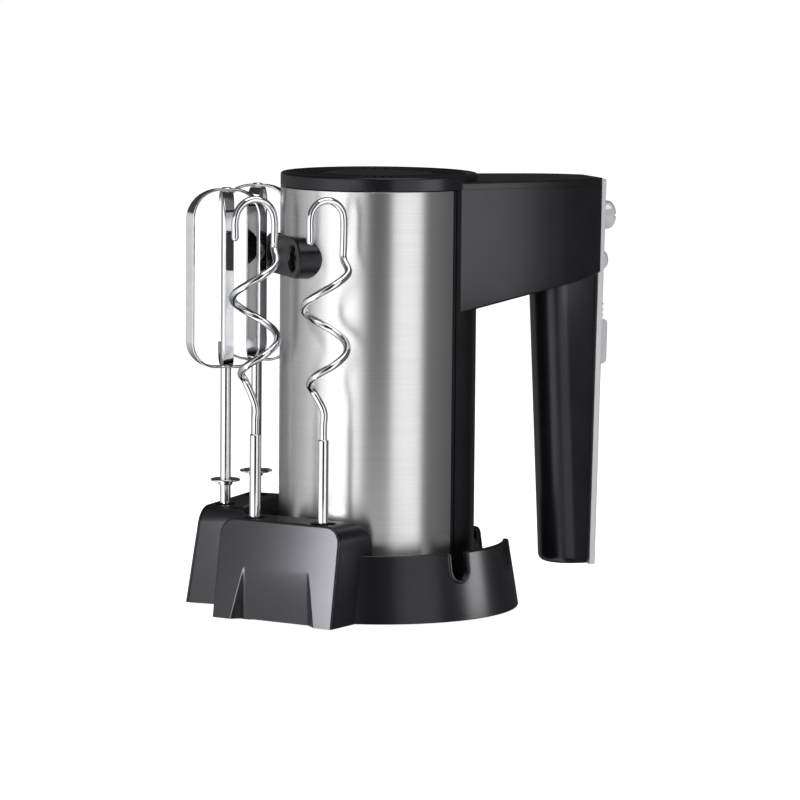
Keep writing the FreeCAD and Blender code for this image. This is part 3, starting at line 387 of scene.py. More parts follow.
def sectorWall(angles, outer, inner, low, high, edge, side=1.0):
    # A wall section of rounded corners carried round the axis; outer gives its radius at each angle
    loops = []
    for angle, reach in zip(angles, outer):
        ring = filleted([(reach, low), (reach, high), (inner, high), (inner, low)], [edge] * 4, steps=4)
        loops.append(pointsOf(ring[:, 0] * cos(angle), side * ring[:, 0] * sin(angle), ring[:, 1]))
    return loft(array(loops))


def makeSleeve(size):
    angles = radians(linspace(60.05, 299.95, 241))
    low, high = span("steel_sleeve", 2)
    sleeve = putMesh("steelSleeve", [sectorWall(angles, full(241, size["outer"]),
        size["outer"] - size["sleeveWall"], low, high, 0.22)])
    cutter = putMesh("noseGap", [loft(along([-60, -20], obround(0.12)))])
    carve(sleeve, [cutter])
    mesh = sleeve.data
    points = np.empty(len(mesh.vertices) * 3)
    mesh.vertices.foreach_get("co", points)
    points = points.reshape(-1, 3)
    corner = np.empty(len(mesh.loops), int)
    mesh.loops.foreach_get("vertex_index", corner)
    angle = np.mod(np.arctan2(points[:, 1], points[:, 0]), 2 * pi)
    flat = pointsOf(angle * size["outer"] * mm, points[:, 2])[corner]
    layer = mesh.uv_layers.new(name="roundTheTube")
    layer.data.foreach_set("uv", flat.ravel())
    seat(sleeve, "mixer", "brushed_sleeve", "steel_sleeve")


makeSleeve(bodySize)

armSize = dict(rootHalf=40.0, rootX=15.0, midHalf=28.5, midX=84.0, bulgeHalf=23.2, endHalf=14.0,
    underRoot=144.0, underEnd=161.0, underX=27.0, wall=2.3, lowEdge=1.0, lidTop=207.0)
faceLine = dict(lowX=106.4, lowZ=16.8, highX=109.8, highZ=206.2)
gripSize = dict(low=17.5, half=14.0, innerLow=85.0, innerHigh=79.0, high=144.0, corner=3.0, foot=3.5)


def faceX(z):
    return faceLine["lowX"] + (z - faceLine["lowZ"]) * (faceLine["highX"] - faceLine["lowX"]) / (
        faceLine["highZ"] - faceLine["lowZ"])


def armHalf(x):
    # Half width of the arm: a straight taper, then the circle through its three end points
    size = armSize
    run, change = size["midX"] - size["rootX"], size["midHalf"] - size["rootHalf"]
    straight = size["rootHalf"] + (x - size["rootX"]) * change / run
    endX = faceLine["highX"]
    p = array([(size["midX"], size["midHalf"]), ((size["midX"] + endX) / 2 + 2, size["bulgeHalf"]),
        (endX, size["endHalf"])])
    matrix = pointsOf(2 * p[:, 0], 2 * p[:, 1], ones(3))
    cx, cy, c = np.linalg.solve(matrix, (p ** 2).sum(1))
    radius = sqrt(c + cx ** 2 + cy ** 2)
    curved = cy + sqrt(maximum(radius ** 2 - (minimum(x, endX) - cx) ** 2, 0))
    return where(x < size["midX"], straight, curved)


def armUnder(x):
    return armSize["underRoot"] + (x - armSize["underX"]) * (armSize["underEnd"] - armSize["underRoot"]) / (
        faceLine["highX"] - armSize["underX"])


def armStations(share, high, rootRadius):
    # x of each stop, for points at each share of the half width: round side of the body to face of the strip
    start = full(share.shape, 30.0)
    for _ in range(8):
        start = sqrt(maximum(rootRadius ** 2 - (share * armHalf(start)) ** 2, 25.0))
    t = concatenate([linspace(0, 0.55, 14, endpoint=False), linspace(0.55, 1, 26)])[:, None]
    return start * (1 - t) + faceX(high) * t


def armWall(side):
    # An L-shaped wall section carried along X: its side follows the arm's half width, its foot the underside
    seam, gap, wall, edge = bodySize["seam"], 0.05, armSize["wall"], armSize["lowEdge"]
    bend = linspace(0, pi / 2, 6)
    outY = concatenate([[0.0, 0.0], -edge * (1 - cos(bend)), [-500.0], [-500.0], [-wall, -wall]])
    outZ = concatenate([[0.0, -20.0], edge * (1 - sin(bend)), [0.0], [wall], [wall, 0.0]])
    fromTop = concatenate([[1, 0], np.zeros(6), [0], [0], [0, 1]]).astype(bool)
    share = where(outY < -400, 0.0, 1.0)
    height = where(fromTop, seam, 160.0)
    x = armStations(share, height, bodySize["tubeOuter"] - 0.6)
    half, under = armHalf(x), armUnder(x)
    y = where(outY < -400, gap, half + outY)
    z = where(fromTop, seam, under + outZ)
    z[:, 1] = under[:, 1] + edge + 6.0
    return loft(pointsOf(x, side * y, z))


def gripHalf(side):
    # Half a D section, round towards the body, carried down from the arm; its foot follows a quarter circle
    size = gripSize
    lift = size["foot"] * (1 - cos(linspace(0, pi / 2, 7)))
    levels = concatenate([size["low"] + lift, linspace(size["low"] + size["foot"], 149, 24)[1:]])
    draw = size["foot"] * (1 - sqrt(clip(1 - (1 - clip((levels - size["low"]) / size["foot"], 0, 1)) ** 2,
        0, 1)))
    loops = []
    for z, inset in zip(levels, draw):
        share = (z - size["low"]) / (size["high"] - size["low"])
        inner = size["innerLow"] + (size["innerHigh"] - size["innerLow"]) * share + inset
        outer, half = faceX(z), size["half"] - inset * 0.7
        turn = linspace(pi, pi / 2, 22)
        nose = pointsOf(inner + half + half * cos(turn), 0.05 + (half - 0.05) * sin(turn))
        tail = filleted([(inner + half, half), (outer, half), (outer, 0.05)], [0, size["corner"], 0], False,
            7)[1:]
        loop = concatenate([nose, tail])
        loops.append(pointsOf(loop[:, 0], side * loop[:, 1], full(len(loop), z)))
    top = loops[-1].copy()
    top[:, 2] = armUnder(top[:, 0]) + 1.0
    return loft(array(loops + [top]))


def makeHousing(size, side, name, node):
    groove = radians([size["grooveAt"] - size["grooveHalf"] - 0.25, size["grooveAt"] - size["grooveHalf"],
        size["grooveAt"] + size["grooveHalf"], size["grooveAt"] + size["grooveHalf"] + 0.25])
    angles = np.unique(concatenate([radians(linspace(0.06, 179.94, 180)), groove,
        radians([size["spineHalf"] - 0.35, size["spineHalf"], size["spineHalf"] + 0.05])]))
    degrees = np.degrees(angles)
    outer = where(degrees <= size["spineHalf"] + 1e-6, size["outer"] - 0.03, size["tubeOuter"])
    outer = outer - size["grooveDepth"] * (abs(degrees - size["grooveAt"]) <= size["grooveHalf"] + 1e-6)
    tube = putMesh(name, [sectorWall(angles, outer, size["tubeInner"], size["low"], size["seam"], 0.3,
        side)])
    carve(tube, [putMesh("noseGap", [loft(along([-60, -20], obround(0.12)))])])
    arm = putMesh("armPart", [armWall(side)])
    grip = putMesh("gripPart", [gripHalf(side)])
    carve(tube, [arm, grip], "UNION", 32)
    seat(tube, "mixer", "black_plastic", node)


makeHousing(bodySize, -1.0, "leftHousing", "left_housing")
makeHousing(bodySize, 1.0, "rightHousing", "right_housing")
print("housing made")

capSize = dict(low=203.5, top=210.2, rim=4.0, dish=1.2, edge=1.2, chamferGap=0.12, grooveIn=3.6,
    grooveWide=0.9,
    grooveDeep=0.9, lidEdge=0.9)


def lidSection(x):
    # One loop of (y, z) for each x: a flat foot, rounded shoulders, and a fine groove inside each shoulder
    size = capSize
    half = armHalf(x)
    low, top, edge = size["low"] + size["chamferGap"], armSize["lidTop"], size["lidEdge"]
    bend = linspace(0, pi / 2, 6)
    inY = concatenate([[0.0], edge * (1 - cos(bend)), [size["grooveIn"] - size["grooveWide"] / 2] * 2,
        [size["grooveIn"] + size["grooveWide"] / 2] * 2])
    z = concatenate([[low], top - edge + edge * sin(bend), [top, top - size["grooveDeep"]],
        [top - size["grooveDeep"], top]])
    y = half[:, None] - inY[None, :]
    y = concatenate([y, -y[:, ::-1]], 1)
    z = np.broadcast_to(concatenate([z, z[::-1]]), y.shape)
    return y, z


def makeCap(size):
    # The cap is a profile turned round the body's axis; the lid is a section carried along the arm
    dish = size["top"] - size["dish"]
    reach = bodySize["outer"]
    profile = concatenate([[(dish, 0.0)], [(dish, reach - size["rim"] - 0.4)],
        filleted([(dish, reach - size["rim"]), (size["top"], reach - size["rim"] + 0.35),
        (size["top"], reach), (size["low"] + size["chamferGap"], reach),
        (size["low"] + size["chamferGap"], reach - 3.5)],
        [0, 0.5, size["edge"], 0.3, 0], False, 6),
        [(dish - 2.4, reach - 3.5), (dish - 2.4, 0.0)]])
    cap = putMesh("frontCover", [revolved(profile, (0, 0, 0), "z", 192)])
    share = concatenate([linspace(0, 0.6, 16, endpoint=False), linspace(0.6, 1, 30)])
    x = 24 + (faceX(armSize["lidTop"]) - 24) * share
    y, z = lidSection(x)
    x = 24 + (faceX(z) - 24) * share[:, None]
    y = np.sign(y) * minimum(abs(y), armHalf(x))
    lid = putMesh("lidPart", [loft(pointsOf(x, y, z))])
    inside = array([(size["low"] - 3, 0.0), (size["low"] - 3, reach - 3.5), (dish - 2.4, reach - 3.5),
        (dish - 2.4, 0.0)])
    carve(lid, [putMesh("roomPart", [revolved(inside, (0, 0, 0), "z", 192)])])
    carve(cap, [lid], "UNION", 30)
    seat(cap, "mixer", "black_plastic", "front_cover")


makeCap(capSize)

inlaySize = dict(ribs=48, ribIn=29.0, ribOut=41.4, ribHigh=0.6, bossHigh=0.85, bossOut=26.0)


def makeInlay(size):
    # Height over a disc: a low boss in the middle, then ribs that swell as sin squared of the angle
    low, high = span("front_inlay", 2)
    reach = span("front_inlay", 0)[1] - 0.02
    radius = np.unique(concatenate([linspace(0, size["bossOut"], 8), [size["bossOut"] + 0.6],
        linspace(size["ribIn"] - 0.6, size["ribIn"], 4),
        linspace(size["ribIn"], size["ribOut"], 12),
        linspace(size["ribOut"], size["ribOut"] + 0.6, 4), [reach - 0.15, reach]]))
    angle = linspace(0, 2 * pi, size["ribs"] * 8, endpoint=False)
    r, a = meshgrid(radius, angle, indexing="ij")
    lift = clip((r - size["ribIn"] + 0.6) / 0.6, 0, 1) * clip((size["ribOut"] + 0.6 - r) / 0.6, 0, 1)
    swell = clip(1.6 * sin(a * size["ribs"] / 2) ** 2 - 0.2, 0, 1)
    boss = clip((size["bossOut"] + 0.6 - r) / 0.6, 0, 1)
    z = low + 0.3 + lift * swell * size["ribHigh"] + size["bossHigh"] * boss * 0.7
    z = minimum(z, high)
    z[-1] -= 0.12
    top = pointsOf(r * cos(a), r * sin(a), z)
    foot = top[-1:].copy()
    foot[..., 2] = low + 0.02
    middle = np.zeros_like(foot)
    middle[..., 2] = low + 0.02
    rows = concatenate([top, foot, middle])
    inlay = putMesh("frontInlay", [(rows.reshape(-1, 3), gridFaces(len(rows), len(angle), False, True))],
        50)
    seat(inlay, "mixer", "black_plastic", "front_inlay")


makeInlay(inlaySize)


def makeNose(size):
    # An obround carried along X, drawn in at its face like a quarter circle, with two flared bores
    bend = linspace(0, pi / 2, 7)
    x = concatenate([size["face"] + size["edge"] * (1 - cos(bend)), [size["inner"]]])
    outlines = array([obround(-size["edge"] * (1 - s)) for s in np.append(sin(bend), 1.0)])
    nose = putMesh("outputNose", [loft(along(x, outlines))])
    flare = [(size["face"] - 1, size["bore"] + 1.5), (size["face"] + 0.9, size["bore"]),
        (size["inner"] + 1, size["bore"])]
    profile = [(flare[0][0], 0.0)] + flare + [(flare[-1][0], 0.0)]
    bores = [putMesh("bore", [revolved(profile, (0, side * size["spacing"], size["z"]), "x", 64)])
        for side in (-1, 1)]
    carve(nose, bores)
    seat(nose, "mixer", "black_plastic", "output_nose")


makeNose(noseSize)
print("cap and nose made")

# Control strip and controls
stripSize = dict(half=12.5, edge=3.0, crown=1.4, low=16.8, high=206.2, round=0.8, gap=0.3)
buttonSize = dict(ejectZ=188.0, ejectReach=7.0, ejectOut=7.5, turboZ=165.8, turboReach=4.6, turboOut=4.9)
sliderSize = dict(low=114.7, padTop=137.2, high=146.4, half=5.5, out=4.7, ridge=2.6,
    ridges=(139.0, 141.7, 144.4))


def crownAt(y):
    return stripSize["crown"] * (1 - (y / stripSize["half"]) ** 2)


def makeStrip(size):
    # A section flat behind and crowned in front, carried up the leaning face; its ends are drawn in
    bend = linspace(0, pi / 2, 6)
    edge = size["round"]
    inset = edge * (1 - sin(bend))
    z = concatenate([size["low"] + edge * (1 - cos(bend)), linspace(size["low"] + 4, size["high"] - 4, 30),
        size["high"] - edge * (1 - cos(bend[::-1]))])
    draw = concatenate([inset, np.zeros(30), inset[::-1]])
    loops = []
    for level, less in zip(z, draw):
        half = size["half"]
        side = filleted([(0.0, half), (size["edge"] - less, half), (size["edge"] + 0.3 - less, half - 4)],
            [0, edge, 0], False, 6)[:-1]
        y = linspace(half - 1.2, -half + 1.2, 25)
        front = pointsOf(size["edge"] + crownAt(y) - less, y)
        loop = concatenate([side, front, side[::-1] * (1, -1)])
        loops.append(pointsOf(faceX(level) + loop[:, 0], loop[:, 1], full(len(loop), level)))
    strip = putMesh("controlStrip", [loft(array(loops))])
    x0 = faceX(190) - 8
    holes = [putMesh("hole", [revolved([(x0, 0), (x0, reach), (x0 + 30, reach), (x0 + 30, 0)], (0, 0, z),
        "x", 64)])
        for z, reach in ((buttonSize["ejectZ"], buttonSize["ejectReach"] + size["gap"]),
        (buttonSize["turboZ"], buttonSize["turboReach"] + size["gap"]))]
    carve(strip, holes)
    seat(strip, "mixer", "silver_plastic", "control_strip")


makeStrip(stripSize)


def makeButton(name, node, body, z, reach, out, power, groove):
    # A domed front: height falls as the given power of the radius, with a shallow slot across the middle
    tip = faceX(z) + stripSize["edge"] + stripSize["crown"] + out
    back = span(node, 0)[0]
    share = 1 - linspace(1, 0, 26) ** 1.6
    r, a = meshgrid(share * reach, linspace(0, 2 * pi, 96, endpoint=False), indexing="ij")
    drop = 1 - clip(1 - (r / reach) ** power, 0, 1) ** (1 / power)
    y, up = r * cos(a), r * sin(a)
    depth = groove * np.exp(-(up / 0.55) ** 4) * clip((reach - r) / 1.0, 0, 1)
    x = tip - drop * out * 0.62 - depth
    top = pointsOf(x, y, z + up)
    skirt = top[-1:].copy()
    skirt[..., 0] = back
    middle = np.zeros_like(skirt) + (back, 0, z)
    rows = concatenate([top, skirt, middle])
    button = putMesh(name, [(rows.reshape(-1, 3), gridFaces(len(rows), 96, False, True))], 45)
    seat(button, body, "silver_plastic", node)


for control, power, groove in (("eject", 3.0, 0.7), ("turbo", 2.2, 0.0)):
    makeButton(control + "Button", control + "_button", control,
        *(buttonSize[control + part] for part in ("Z", "Reach", "Out")), power, groove)


def makeSlider(size):
    # Front height over (z, y): a thumb pad whose edges roll off, then a thin tongue with three rounded
    # ridges
    z = np.unique(concatenate([linspace(size["low"], size["low"] + 2.2, 9),
        linspace(size["low"], size["padTop"], 30),
        linspace(size["padTop"] - 2.4, size["padTop"], 9),
        linspace(size["padTop"], size["high"], 70)]))
    t = linspace(-1, 1, 33)
    zz, tt = meshgrid(z, t, indexing="ij")
    half = where(zz <= size["padTop"], size["half"], size["half"] - 0.8)
    away = abs(zz - (size["low"] + size["padTop"]) / 2) / ((size["padTop"] - size["low"]) / 2)
    pad = clip(1 - away ** 14, 0, 1) ** 0.5
    ridge = sum(np.exp(-((zz - level) / 0.62) ** 4) for level in size["ridges"])
    tongue = 0.75 + ridge * (size["ridge"] - 0.75)
    tongue = tongue * clip((size["high"] - zz) / 0.5, 0.2, 1)
    lift = where(zz <= size["padTop"], maximum(size["out"] * pad, 0.75), tongue)
    roll = clip(1 - abs(tt) ** 8, 0, 1) ** 0.5
    y = half * tt
    front = faceX(zz) + stripSize["edge"] + crownAt(y) + 0.1 + lift * (0.25 + 0.75 * roll)
    back = faceX(zz) + stripSize["edge"] + crownAt(y) + 0.08
    loops = concatenate([pointsOf(front, y, zz), pointsOf(back, y, zz)[:, ::-1]], 1)
    slider = putMesh("speedSlider", [loft(loops)], 45)
    seat(slider, "speed", "silver_plastic", "speed_slider")


makeSlider(sliderSize)
print("controls made")

# Storage base
ringSize = dict(footReach=69.6, rimReach=64.2, rimZ=32.8, low=0.8, wall=2.8, rimEdge=0.9, windowHalf=18.5,
    sill=8.0, windowCorner=2.2, notchAt=-70.7, notchWide=9.8, notchDeep=13.2, lip=1.0)
pocketSize = dict(angle=39.5, top=48.1, footReach=84.0, topReach=76.5, flatReach=58.0, rearReach=48.4,
    rearZ=31.0,
    shoulder=8.0, width=67.4, offset=5.5, recessWide=46.6, recessFloor=35.4, recessHigh=26.5,
    recessDeep=5.0,
    edge=1.0, grooveDeep=0.45, room=50.7)


def ringTop(angle):
    # Height of the rim: full, down to the sill in the window, and round-bottomed in the cord's notch
    size = ringSize
    reach = size["rimReach"]
    away = (abs(np.degrees(angle)) - size["windowHalf"]) * pi / 180 * reach
    corner = size["windowCorner"]
    inward = clip(corner - away, 0, corner)
    top = where(away < 0, size["sill"], size["rimZ"] - corner + sqrt(corner ** 2 - inward ** 2))
    half = size["notchWide"] / 2
    across = (angle - radians(size["notchAt"])) * reach
    bowl = size["rimZ"] - size["notchDeep"] + half - sqrt(clip(half ** 2 - across ** 2, 0, None))
    return where(abs(across) < half, minimum(top, bowl), top)


def ringAngles():
    # Even steps, with close pairs on both sides of each upright edge
    size = ringSize
    reach = size["rimReach"]
    window, notch = radians(size["windowHalf"]), radians(size["notchAt"])
    half, tiny = size["notchWide"] / 2 / reach, 0.02 / reach
    near = [linspace(0, 3.2, 12) / reach + window + tiny, -linspace(0, 3.2, 12) / reach - window - tiny,
        [window - tiny, -window + tiny], notch + linspace(-half + tiny, half - tiny, 25),
        [notch - half - tiny, notch + half + tiny]]
    return np.unique(concatenate([linspace(-pi, pi, 240, endpoint=False)] + near))


def makeRing():
    size = ringSize
    slope = (size["footReach"] - size["rimReach"]) / size["rimZ"]
    angle = ringAngles()
    top = ringTop(angle)
    loops = []
    for a, high in zip(angle, top):
        outer = lambda z: size["footReach"] - slope * z
        ring = filleted([(outer(size["low"]), size["low"]), (outer(high), high),
            (outer(high) - size["wall"], high),
            (outer(size["low"]) - size["wall"], size["low"])], [0.3, size["rimEdge"], 0.6, 0.3], steps=5)
        loops.append(pointsOf(ring[:, 0] * cos(a), ring[:, 0] * sin(a), ring[:, 1]))
    return putMesh("baseShell", [loft(array(loops), closed=True)], 32)


def pocketOutline(inset, count=(14, 9, 40)):
    # Outline (y, z) of the front: up one side, round a quarter circle, across, and down the other side
    size = pocketSize
    half, top, corner = size["width"] / 2 - inset, size["top"] - inset, max(size["shoulder"] - inset, 0.5)
    rise = linspace(ringSize["low"], top - corner, count[0], endpoint=False)
    turn = linspace(0, pi / 2, count[1], endpoint=False)
    across = linspace(-half + corner, half - corner, count[2])
    left = pointsOf(full(count[0], -half), rise)
    arc = pointsOf(-half + corner - corner * cos(turn), top - corner + corner * sin(turn))
    middle = pointsOf(across, full(count[2], top))
    right = concatenate([left, arc])[::-1] * (-1, 1)
    outline = concatenate([left, arc, middle, right])
    outline[:, 0] += size["offset"]
    return outline


def frontX(z):
    size = pocketSize
    return -(size["footReach"] - (size["footReach"] - size["topReach"]) * z / size["top"])


def pocketTop(x):
    # The top is flat, then falls to the ring's height as a quarter of an ellipse
    size = pocketSize
    share = clip((size["flatReach"] + x) / (size["flatReach"] - size["rearReach"]), 0, 1)
    return size["rearZ"] + (size["top"] - size["rearZ"]) * sqrt(1 - share ** 2)


def placed(points, side):
    # Turned round the axis to the near or far side
    x, y = points[..., 0], points[..., 1] * (1 if side < 0 else -1)
    turn = radians(-side * pocketSize["angle"])
    return pointsOf(x * cos(turn) - y * sin(turn), x * sin(turn) + y * cos(turn), points[..., 2])


def solidPocket(name, side, shrink, low):
    # A closed block: the front outline at depth stops whose edge follows a quarter circle, then back to the
    # ring;
    # shrink gives the smaller block that hollows it
    size = pocketSize
    edge, deep = size["edge"], size["grooveDeep"]
    bend = linspace(0, pi / 2, 6)
    stops = [(edge * (1 - sin(b)), edge * (1 - cos(b))) for b in bend]
    stops += [(0.0, edge + 0.25), (deep, edge + 0.45), (deep, edge + 0.95), (0.0, edge + 1.15)]
    if shrink > 0:
        stops = [(shrink, shrink)]
    loops = []
    for inset, back in stops:
        outline = pocketOutline(inset)
        foot = frontX(outline[:, 1]) + back
        loops.append(pointsOf(foot, outline[:, 0], outline[:, 1]))
    outline = pocketOutline(shrink)
    rear = -sqrt((size["room"] + (3.0 if shrink else 0.0)) ** 2 - outline[:, 0] ** 2)
    start = frontX(outline[:, 1]) + stops[-1][1]
    for t in concatenate([linspace(0.08, 0.5, 6), linspace(0.55, 1, 22)]):
        x = start * (1 - t) + rear * t
        z = minimum(outline[:, 1], pocketTop(x) - shrink)
        loops.append(pointsOf(x, outline[:, 0], z))
    shell = array(loops)
    shell[..., 2] = where(shell[..., 2] < ringSize["low"] + 0.01, low, shell[..., 2])
    return putMesh(name, [loft(placed(shell, side))], 32)


def recessBlock(side, grow):
    # Depth over the pocket's front: nothing at its top, growing evenly to the foot; a steep left flank that
    # widens
    # downwards, and a right flank that eases in and out like a smooth step
    size = pocketSize
    z = concatenate([linspace(-2.0, size["recessHigh"] - 5, 28),
        linspace(size["recessHigh"] - 5, size["recessHigh"] + 1, 16)[1:]])
    y = linspace(-1, 1, 97)
    zz, yy = meshgrid(z, y, indexing="ij")
    down = clip((size["recessHigh"] - zz) / size["recessHigh"], 0, 1.1)
    flare = (size["recessWide"] - size["recessFloor"]) / 2 * (down + 0.16)
    wide = size["recessFloor"] / 2 + flare
    across = yy * (wide + 0.8)
    left = clip((across + wide) / flare, 0, 1)
    right = clip((wide - across) / flare, 0, 1)
    shape = clip(left * 1.02, 0, 1) * right ** 2 * (3 - 2 * right)
    depth = size["recessDeep"] * down ** 1.15 * shape - 0.03 + grow
    depth = where((abs(across) > wide + 0.1) | (zz > size["recessHigh"] + 0.5), -0.6 + grow, depth)
    front = pointsOf(frontX(zz) + depth, size["offset"] + across + np.sign(across) * grow,
        zz + grow * (zz > 0))
    back = front[:, ::-1].copy()
    back[..., 0] = -96.0
    return putMesh("recessPart", [loft(placed(concatenate([front, back], 1), side))])


def toolPost(node, reach):
    # A post with a flared head, to open a hole in a pocket's top
    x, y = placeOf(node)
    top = pocketSize["top"]
    profile = [(24.0, 0.0), (24.0, reach), (top - 0.7, reach), (top + 1.5, reach + 2.2), (top + 1.5, 0.0)]
    return putMesh("postPart", [revolved(profile, (x, y, 0), "z", 48)])


def makeBase():
    base = makeRing()
    pockets = []
    for side, near, far in ((-1, "left_dough_hook_ferrule", "right_dough_hook_ferrule"),
            (1, "left_beater_shank", "right_beater_shank")):
        block = solidPocket("pocketPart", side, 0.0, ringSize["low"])
        carve(block, [recessBlock(side, 0.0)])
        hollow = solidPocket("hollowPart", side, ringSize["wall"], -3.0)
        carve(hollow, [recessBlock(side, ringSize["wall"])])
        carve(block, [hollow, toolPost(near, 4.9), toolPost(far, 6.0)])
        pockets.append(block)
    carve(base, pockets, "UNION", 32)
    seat(base, "storage_base", "black_plastic", "base_shell")
    lipPath()


def lipPath():
    # A thin bead along the notch: down one side, round the bowl and up the other, on the ring's outer slope
    size = ringSize
    half = size["notchWide"] / 2 + size["lip"] * 0.7
    bowlZ = size["rimZ"] - size["notchDeep"] + size["notchWide"] / 2
    turn = linspace(pi, 2 * pi, 25)
    up = linspace(bowlZ, size["rimZ"] - 0.9, 8)[1:]
    across = concatenate([full(7, -half), half * cos(turn), full(7, half)])
    z = concatenate([up[::-1], bowlZ + half * sin(turn), up])
    slope = (size["footReach"] - size["rimReach"]) / size["rimZ"]
    reach = size["footReach"] - slope * z - 0.25
    angle = radians(size["notchAt"]) + across / reach
    path = pointsOf(reach * cos(angle), reach * sin(angle), z)
    lip = putMesh("cordNotchLip", [tubeAlong(path, size["lip"], 16)], 60)
    seat(lip, "storage_base", "black_plastic")


makeBase()
print("base made")

# Tools
toolSize = dict(shank=2.6, foot=25.0, wire=1.75, ferruleTop=88.0, hookReach=10.6, hookLow=111.0,
    hookHigh=168.0,
    turns=1.5, lug=8.4, lugThick=1.2, bladeWide=5.6, bladeThick=1.1, whiskHalf=18.0,
    whiskLow=114.5, whiskHigh=201.5, whiskCorner=15.0, collarZ=59.4, collarReach=7.2, collarThick=1.1,
    twist=40.0)


def hookPath(size, shift, leg, top, lift):
    # A straight stem, a helix whose radius grows over its first turn, a leg and a half circle back down
    share = linspace(0, 1, 13)
    angle = radians(145 + 360 * size["turns"] * share)
    reach = size["hookReach"] * minimum(1.0, 0.45 + share * 3.2)
    helix = pointsOf(reach * cos(angle) + shift * share, reach * sin(angle),
        size["hookLow"] + lift + (size["hookHigh"] - size["hookLow"]) * share)
    stem = [(0, 0, size["ferruleTop"] - 3), (0, 0, 94), (0, 0, 101.5)]
    turn = radians([0, 30, 60, 90, 120, 150, 180])
    round_ = pointsOf(shift + leg * cos(turn), 0 * turn, top - leg * 1.08 + leg * 1.08 * sin(turn))
    loop = concatenate([[(shift + leg, 0, 174.0 + lift), (shift + leg, 0, 180.5)], round_,
        [(shift - leg, 0, 185.0), (shift - leg, 0, 181.5)]])
    return smoothRun(concatenate([stem, helix, loop]))


def drivenRod(x, y, low, high, size, topRound):
    # A turned rod with rounded ends, and two small wings near its foot
    r = size["shank"]
    profile = concatenate([[(low, 0.0)], filleted([(low, 0), (low, r), (high, r), (high, 0)],
        [0, 0.8, topRound, 0], False, 6),
        [(high, 0.0)]])
    half, thick = size["lug"] / 2, size["lugThick"] / 2
    outline = filleted([(-half, -thick), (half, -thick), (half, thick), (-half, thick)], [0.4] * 4, steps=4)
    levels = array([low + 6, low + 6.5, low + 11.5, low + 12])
    scale = array([0.85, 1, 1, 0.85])[:, None]
    wing = pointsOf(x + outline[:, 0] * scale, y + outline[:, 1] * ones((4, 1)),
        levels[:, None] * ones(len(outline)))
    return [revolved(profile, (x, y, 0), "z", 48), loft(wing)]


def makeHook(name, body, shift, leg, top, lift, size):
    x, y = placeOf(name + "_dough_hook_ferrule")
    wire = putMesh(name + "HookWire", [tubeAlong(hookPath(size, shift, leg, top, lift) + (x, y, 0),
        size["wire"], 24)], 60)
    seat(wire, body, "bright_chrome", name + "_dough_hook_wire")
    ferrule = putMesh(name + "HookFerrule", drivenRod(x, y, size["foot"], size["ferruleTop"], size, 0.7),
        40)
    seat(ferrule, body, "bright_chrome", name + "_dough_hook_ferrule")


def whiskLoop(yaw, half, low, high, corner, size):
    # A rounded flat strip carried round an upright rounded rectangle; its width lies across the loop's
    # plane
    path = filleted([(-half, low), (half, low), (half, high), (-half, high)],
        [corner * 0.85, corner * 0.85, corner, corner], steps=22)
    ahead = np.roll(path, -1, 0) - np.roll(path, 1, 0)
    ahead /= np.linalg.norm(ahead, axis=1)[:, None]
    normal = pointsOf(ahead[:, 1], -ahead[:, 0])
    wide, thick = size["bladeWide"] / 2, size["bladeThick"]
    strip = filleted([(-wide, 0), (wide, 0), (wide, -thick), (-wide, -thick)], [0.35] * 4, steps=4)
    middle = (low + high) / 2
    twist = radians(size["twist"]) * clip(1.25 - abs((path[:, 1] - middle) / (high - middle)) ** 4 * 1.25,
        0, 1)[:, None]
    out = (strip[None, :, 1] + thick / 2) * cos(twist) + strip[None, :, 0] * sin(twist) - thick / 2
    across = strip[None, :, 0] * cos(twist) - (strip[None, :, 1] + thick / 2) * sin(twist)
    flat = path[:, None] + normal[:, None] * out[..., None]
    turn = radians(yaw)
    x, y = flat[..., 0] * cos(turn) - across * sin(turn), flat[..., 0] * sin(turn) + across * cos(turn)
    return pointsOf(x, y, flat[..., 1])


def makeBeater(name, body, yaw, notched, size):
    x, y = placeOf(name + "_beater_shank")
    top = span(name + "_beater_shank", 2)[1]
    rod = putMesh(name + "BeaterShank", drivenRod(x, y, size["foot"], top, size, 0.9), 40)
    seat(rod, body, "bright_chrome", name + "_beater_shank")
    thick = size["bladeThick"]
    outer = whiskLoop(yaw, size["whiskHalf"], size["whiskLow"], size["whiskHigh"], size["whiskCorner"],
        size)
    inner = whiskLoop(yaw + 90, size["whiskHalf"] - 0.6, size["whiskLow"] + thick,
        size["whiskHigh"] - thick,
        size["whiskCorner"] - 0.6, size)
    blades = putMesh(name + "BeaterBlades", [loft(outer + (x, y, 0), True), loft(inner + (x, y, 0), True)],
        40)
    seat(blades, body, "bright_chrome", name + "_beater_blades")
    reach = size["collarReach"] + (0.8 if notched else 0.0)
    notches = lambda r, a: r - where(r > 5.5, 1.0, 0.0) * (cos(8 * a) > 0.55) * (1.4 if notched else 0.0)
    z = size["collarZ"]
    thick = size["collarThick"]
    profile = filleted([(z - 2, size["shank"]), (z - 2, 3.5), (z, 3.5), (z, reach), (z + thick, reach),
        (z + thick, size["shank"])],
        [0, 0.5, 0.4, 0.5, 0.5, 0], False, 5)
    profile = concatenate([profile, [(z - 2, size["shank"])]])
    collar = putMesh(name + "BeaterCollar", [revolved(profile, (x, y, 0), "z", 160, notches)], 40)
    seat(collar, body, "bright_chrome", name + "_beater_collar")


makeHook("left", "left_hook", -0.7, 9.7, 199.4, 1.6, toolSize)
makeHook("right", "right_hook", 1.1, 8.2, 200.4, -0.8, toolSize)
makeBeater("left", "left_beater", -12, False, toolSize)
makeBeater("right", "right_beater", -26, True, toolSize)
print("tools made")


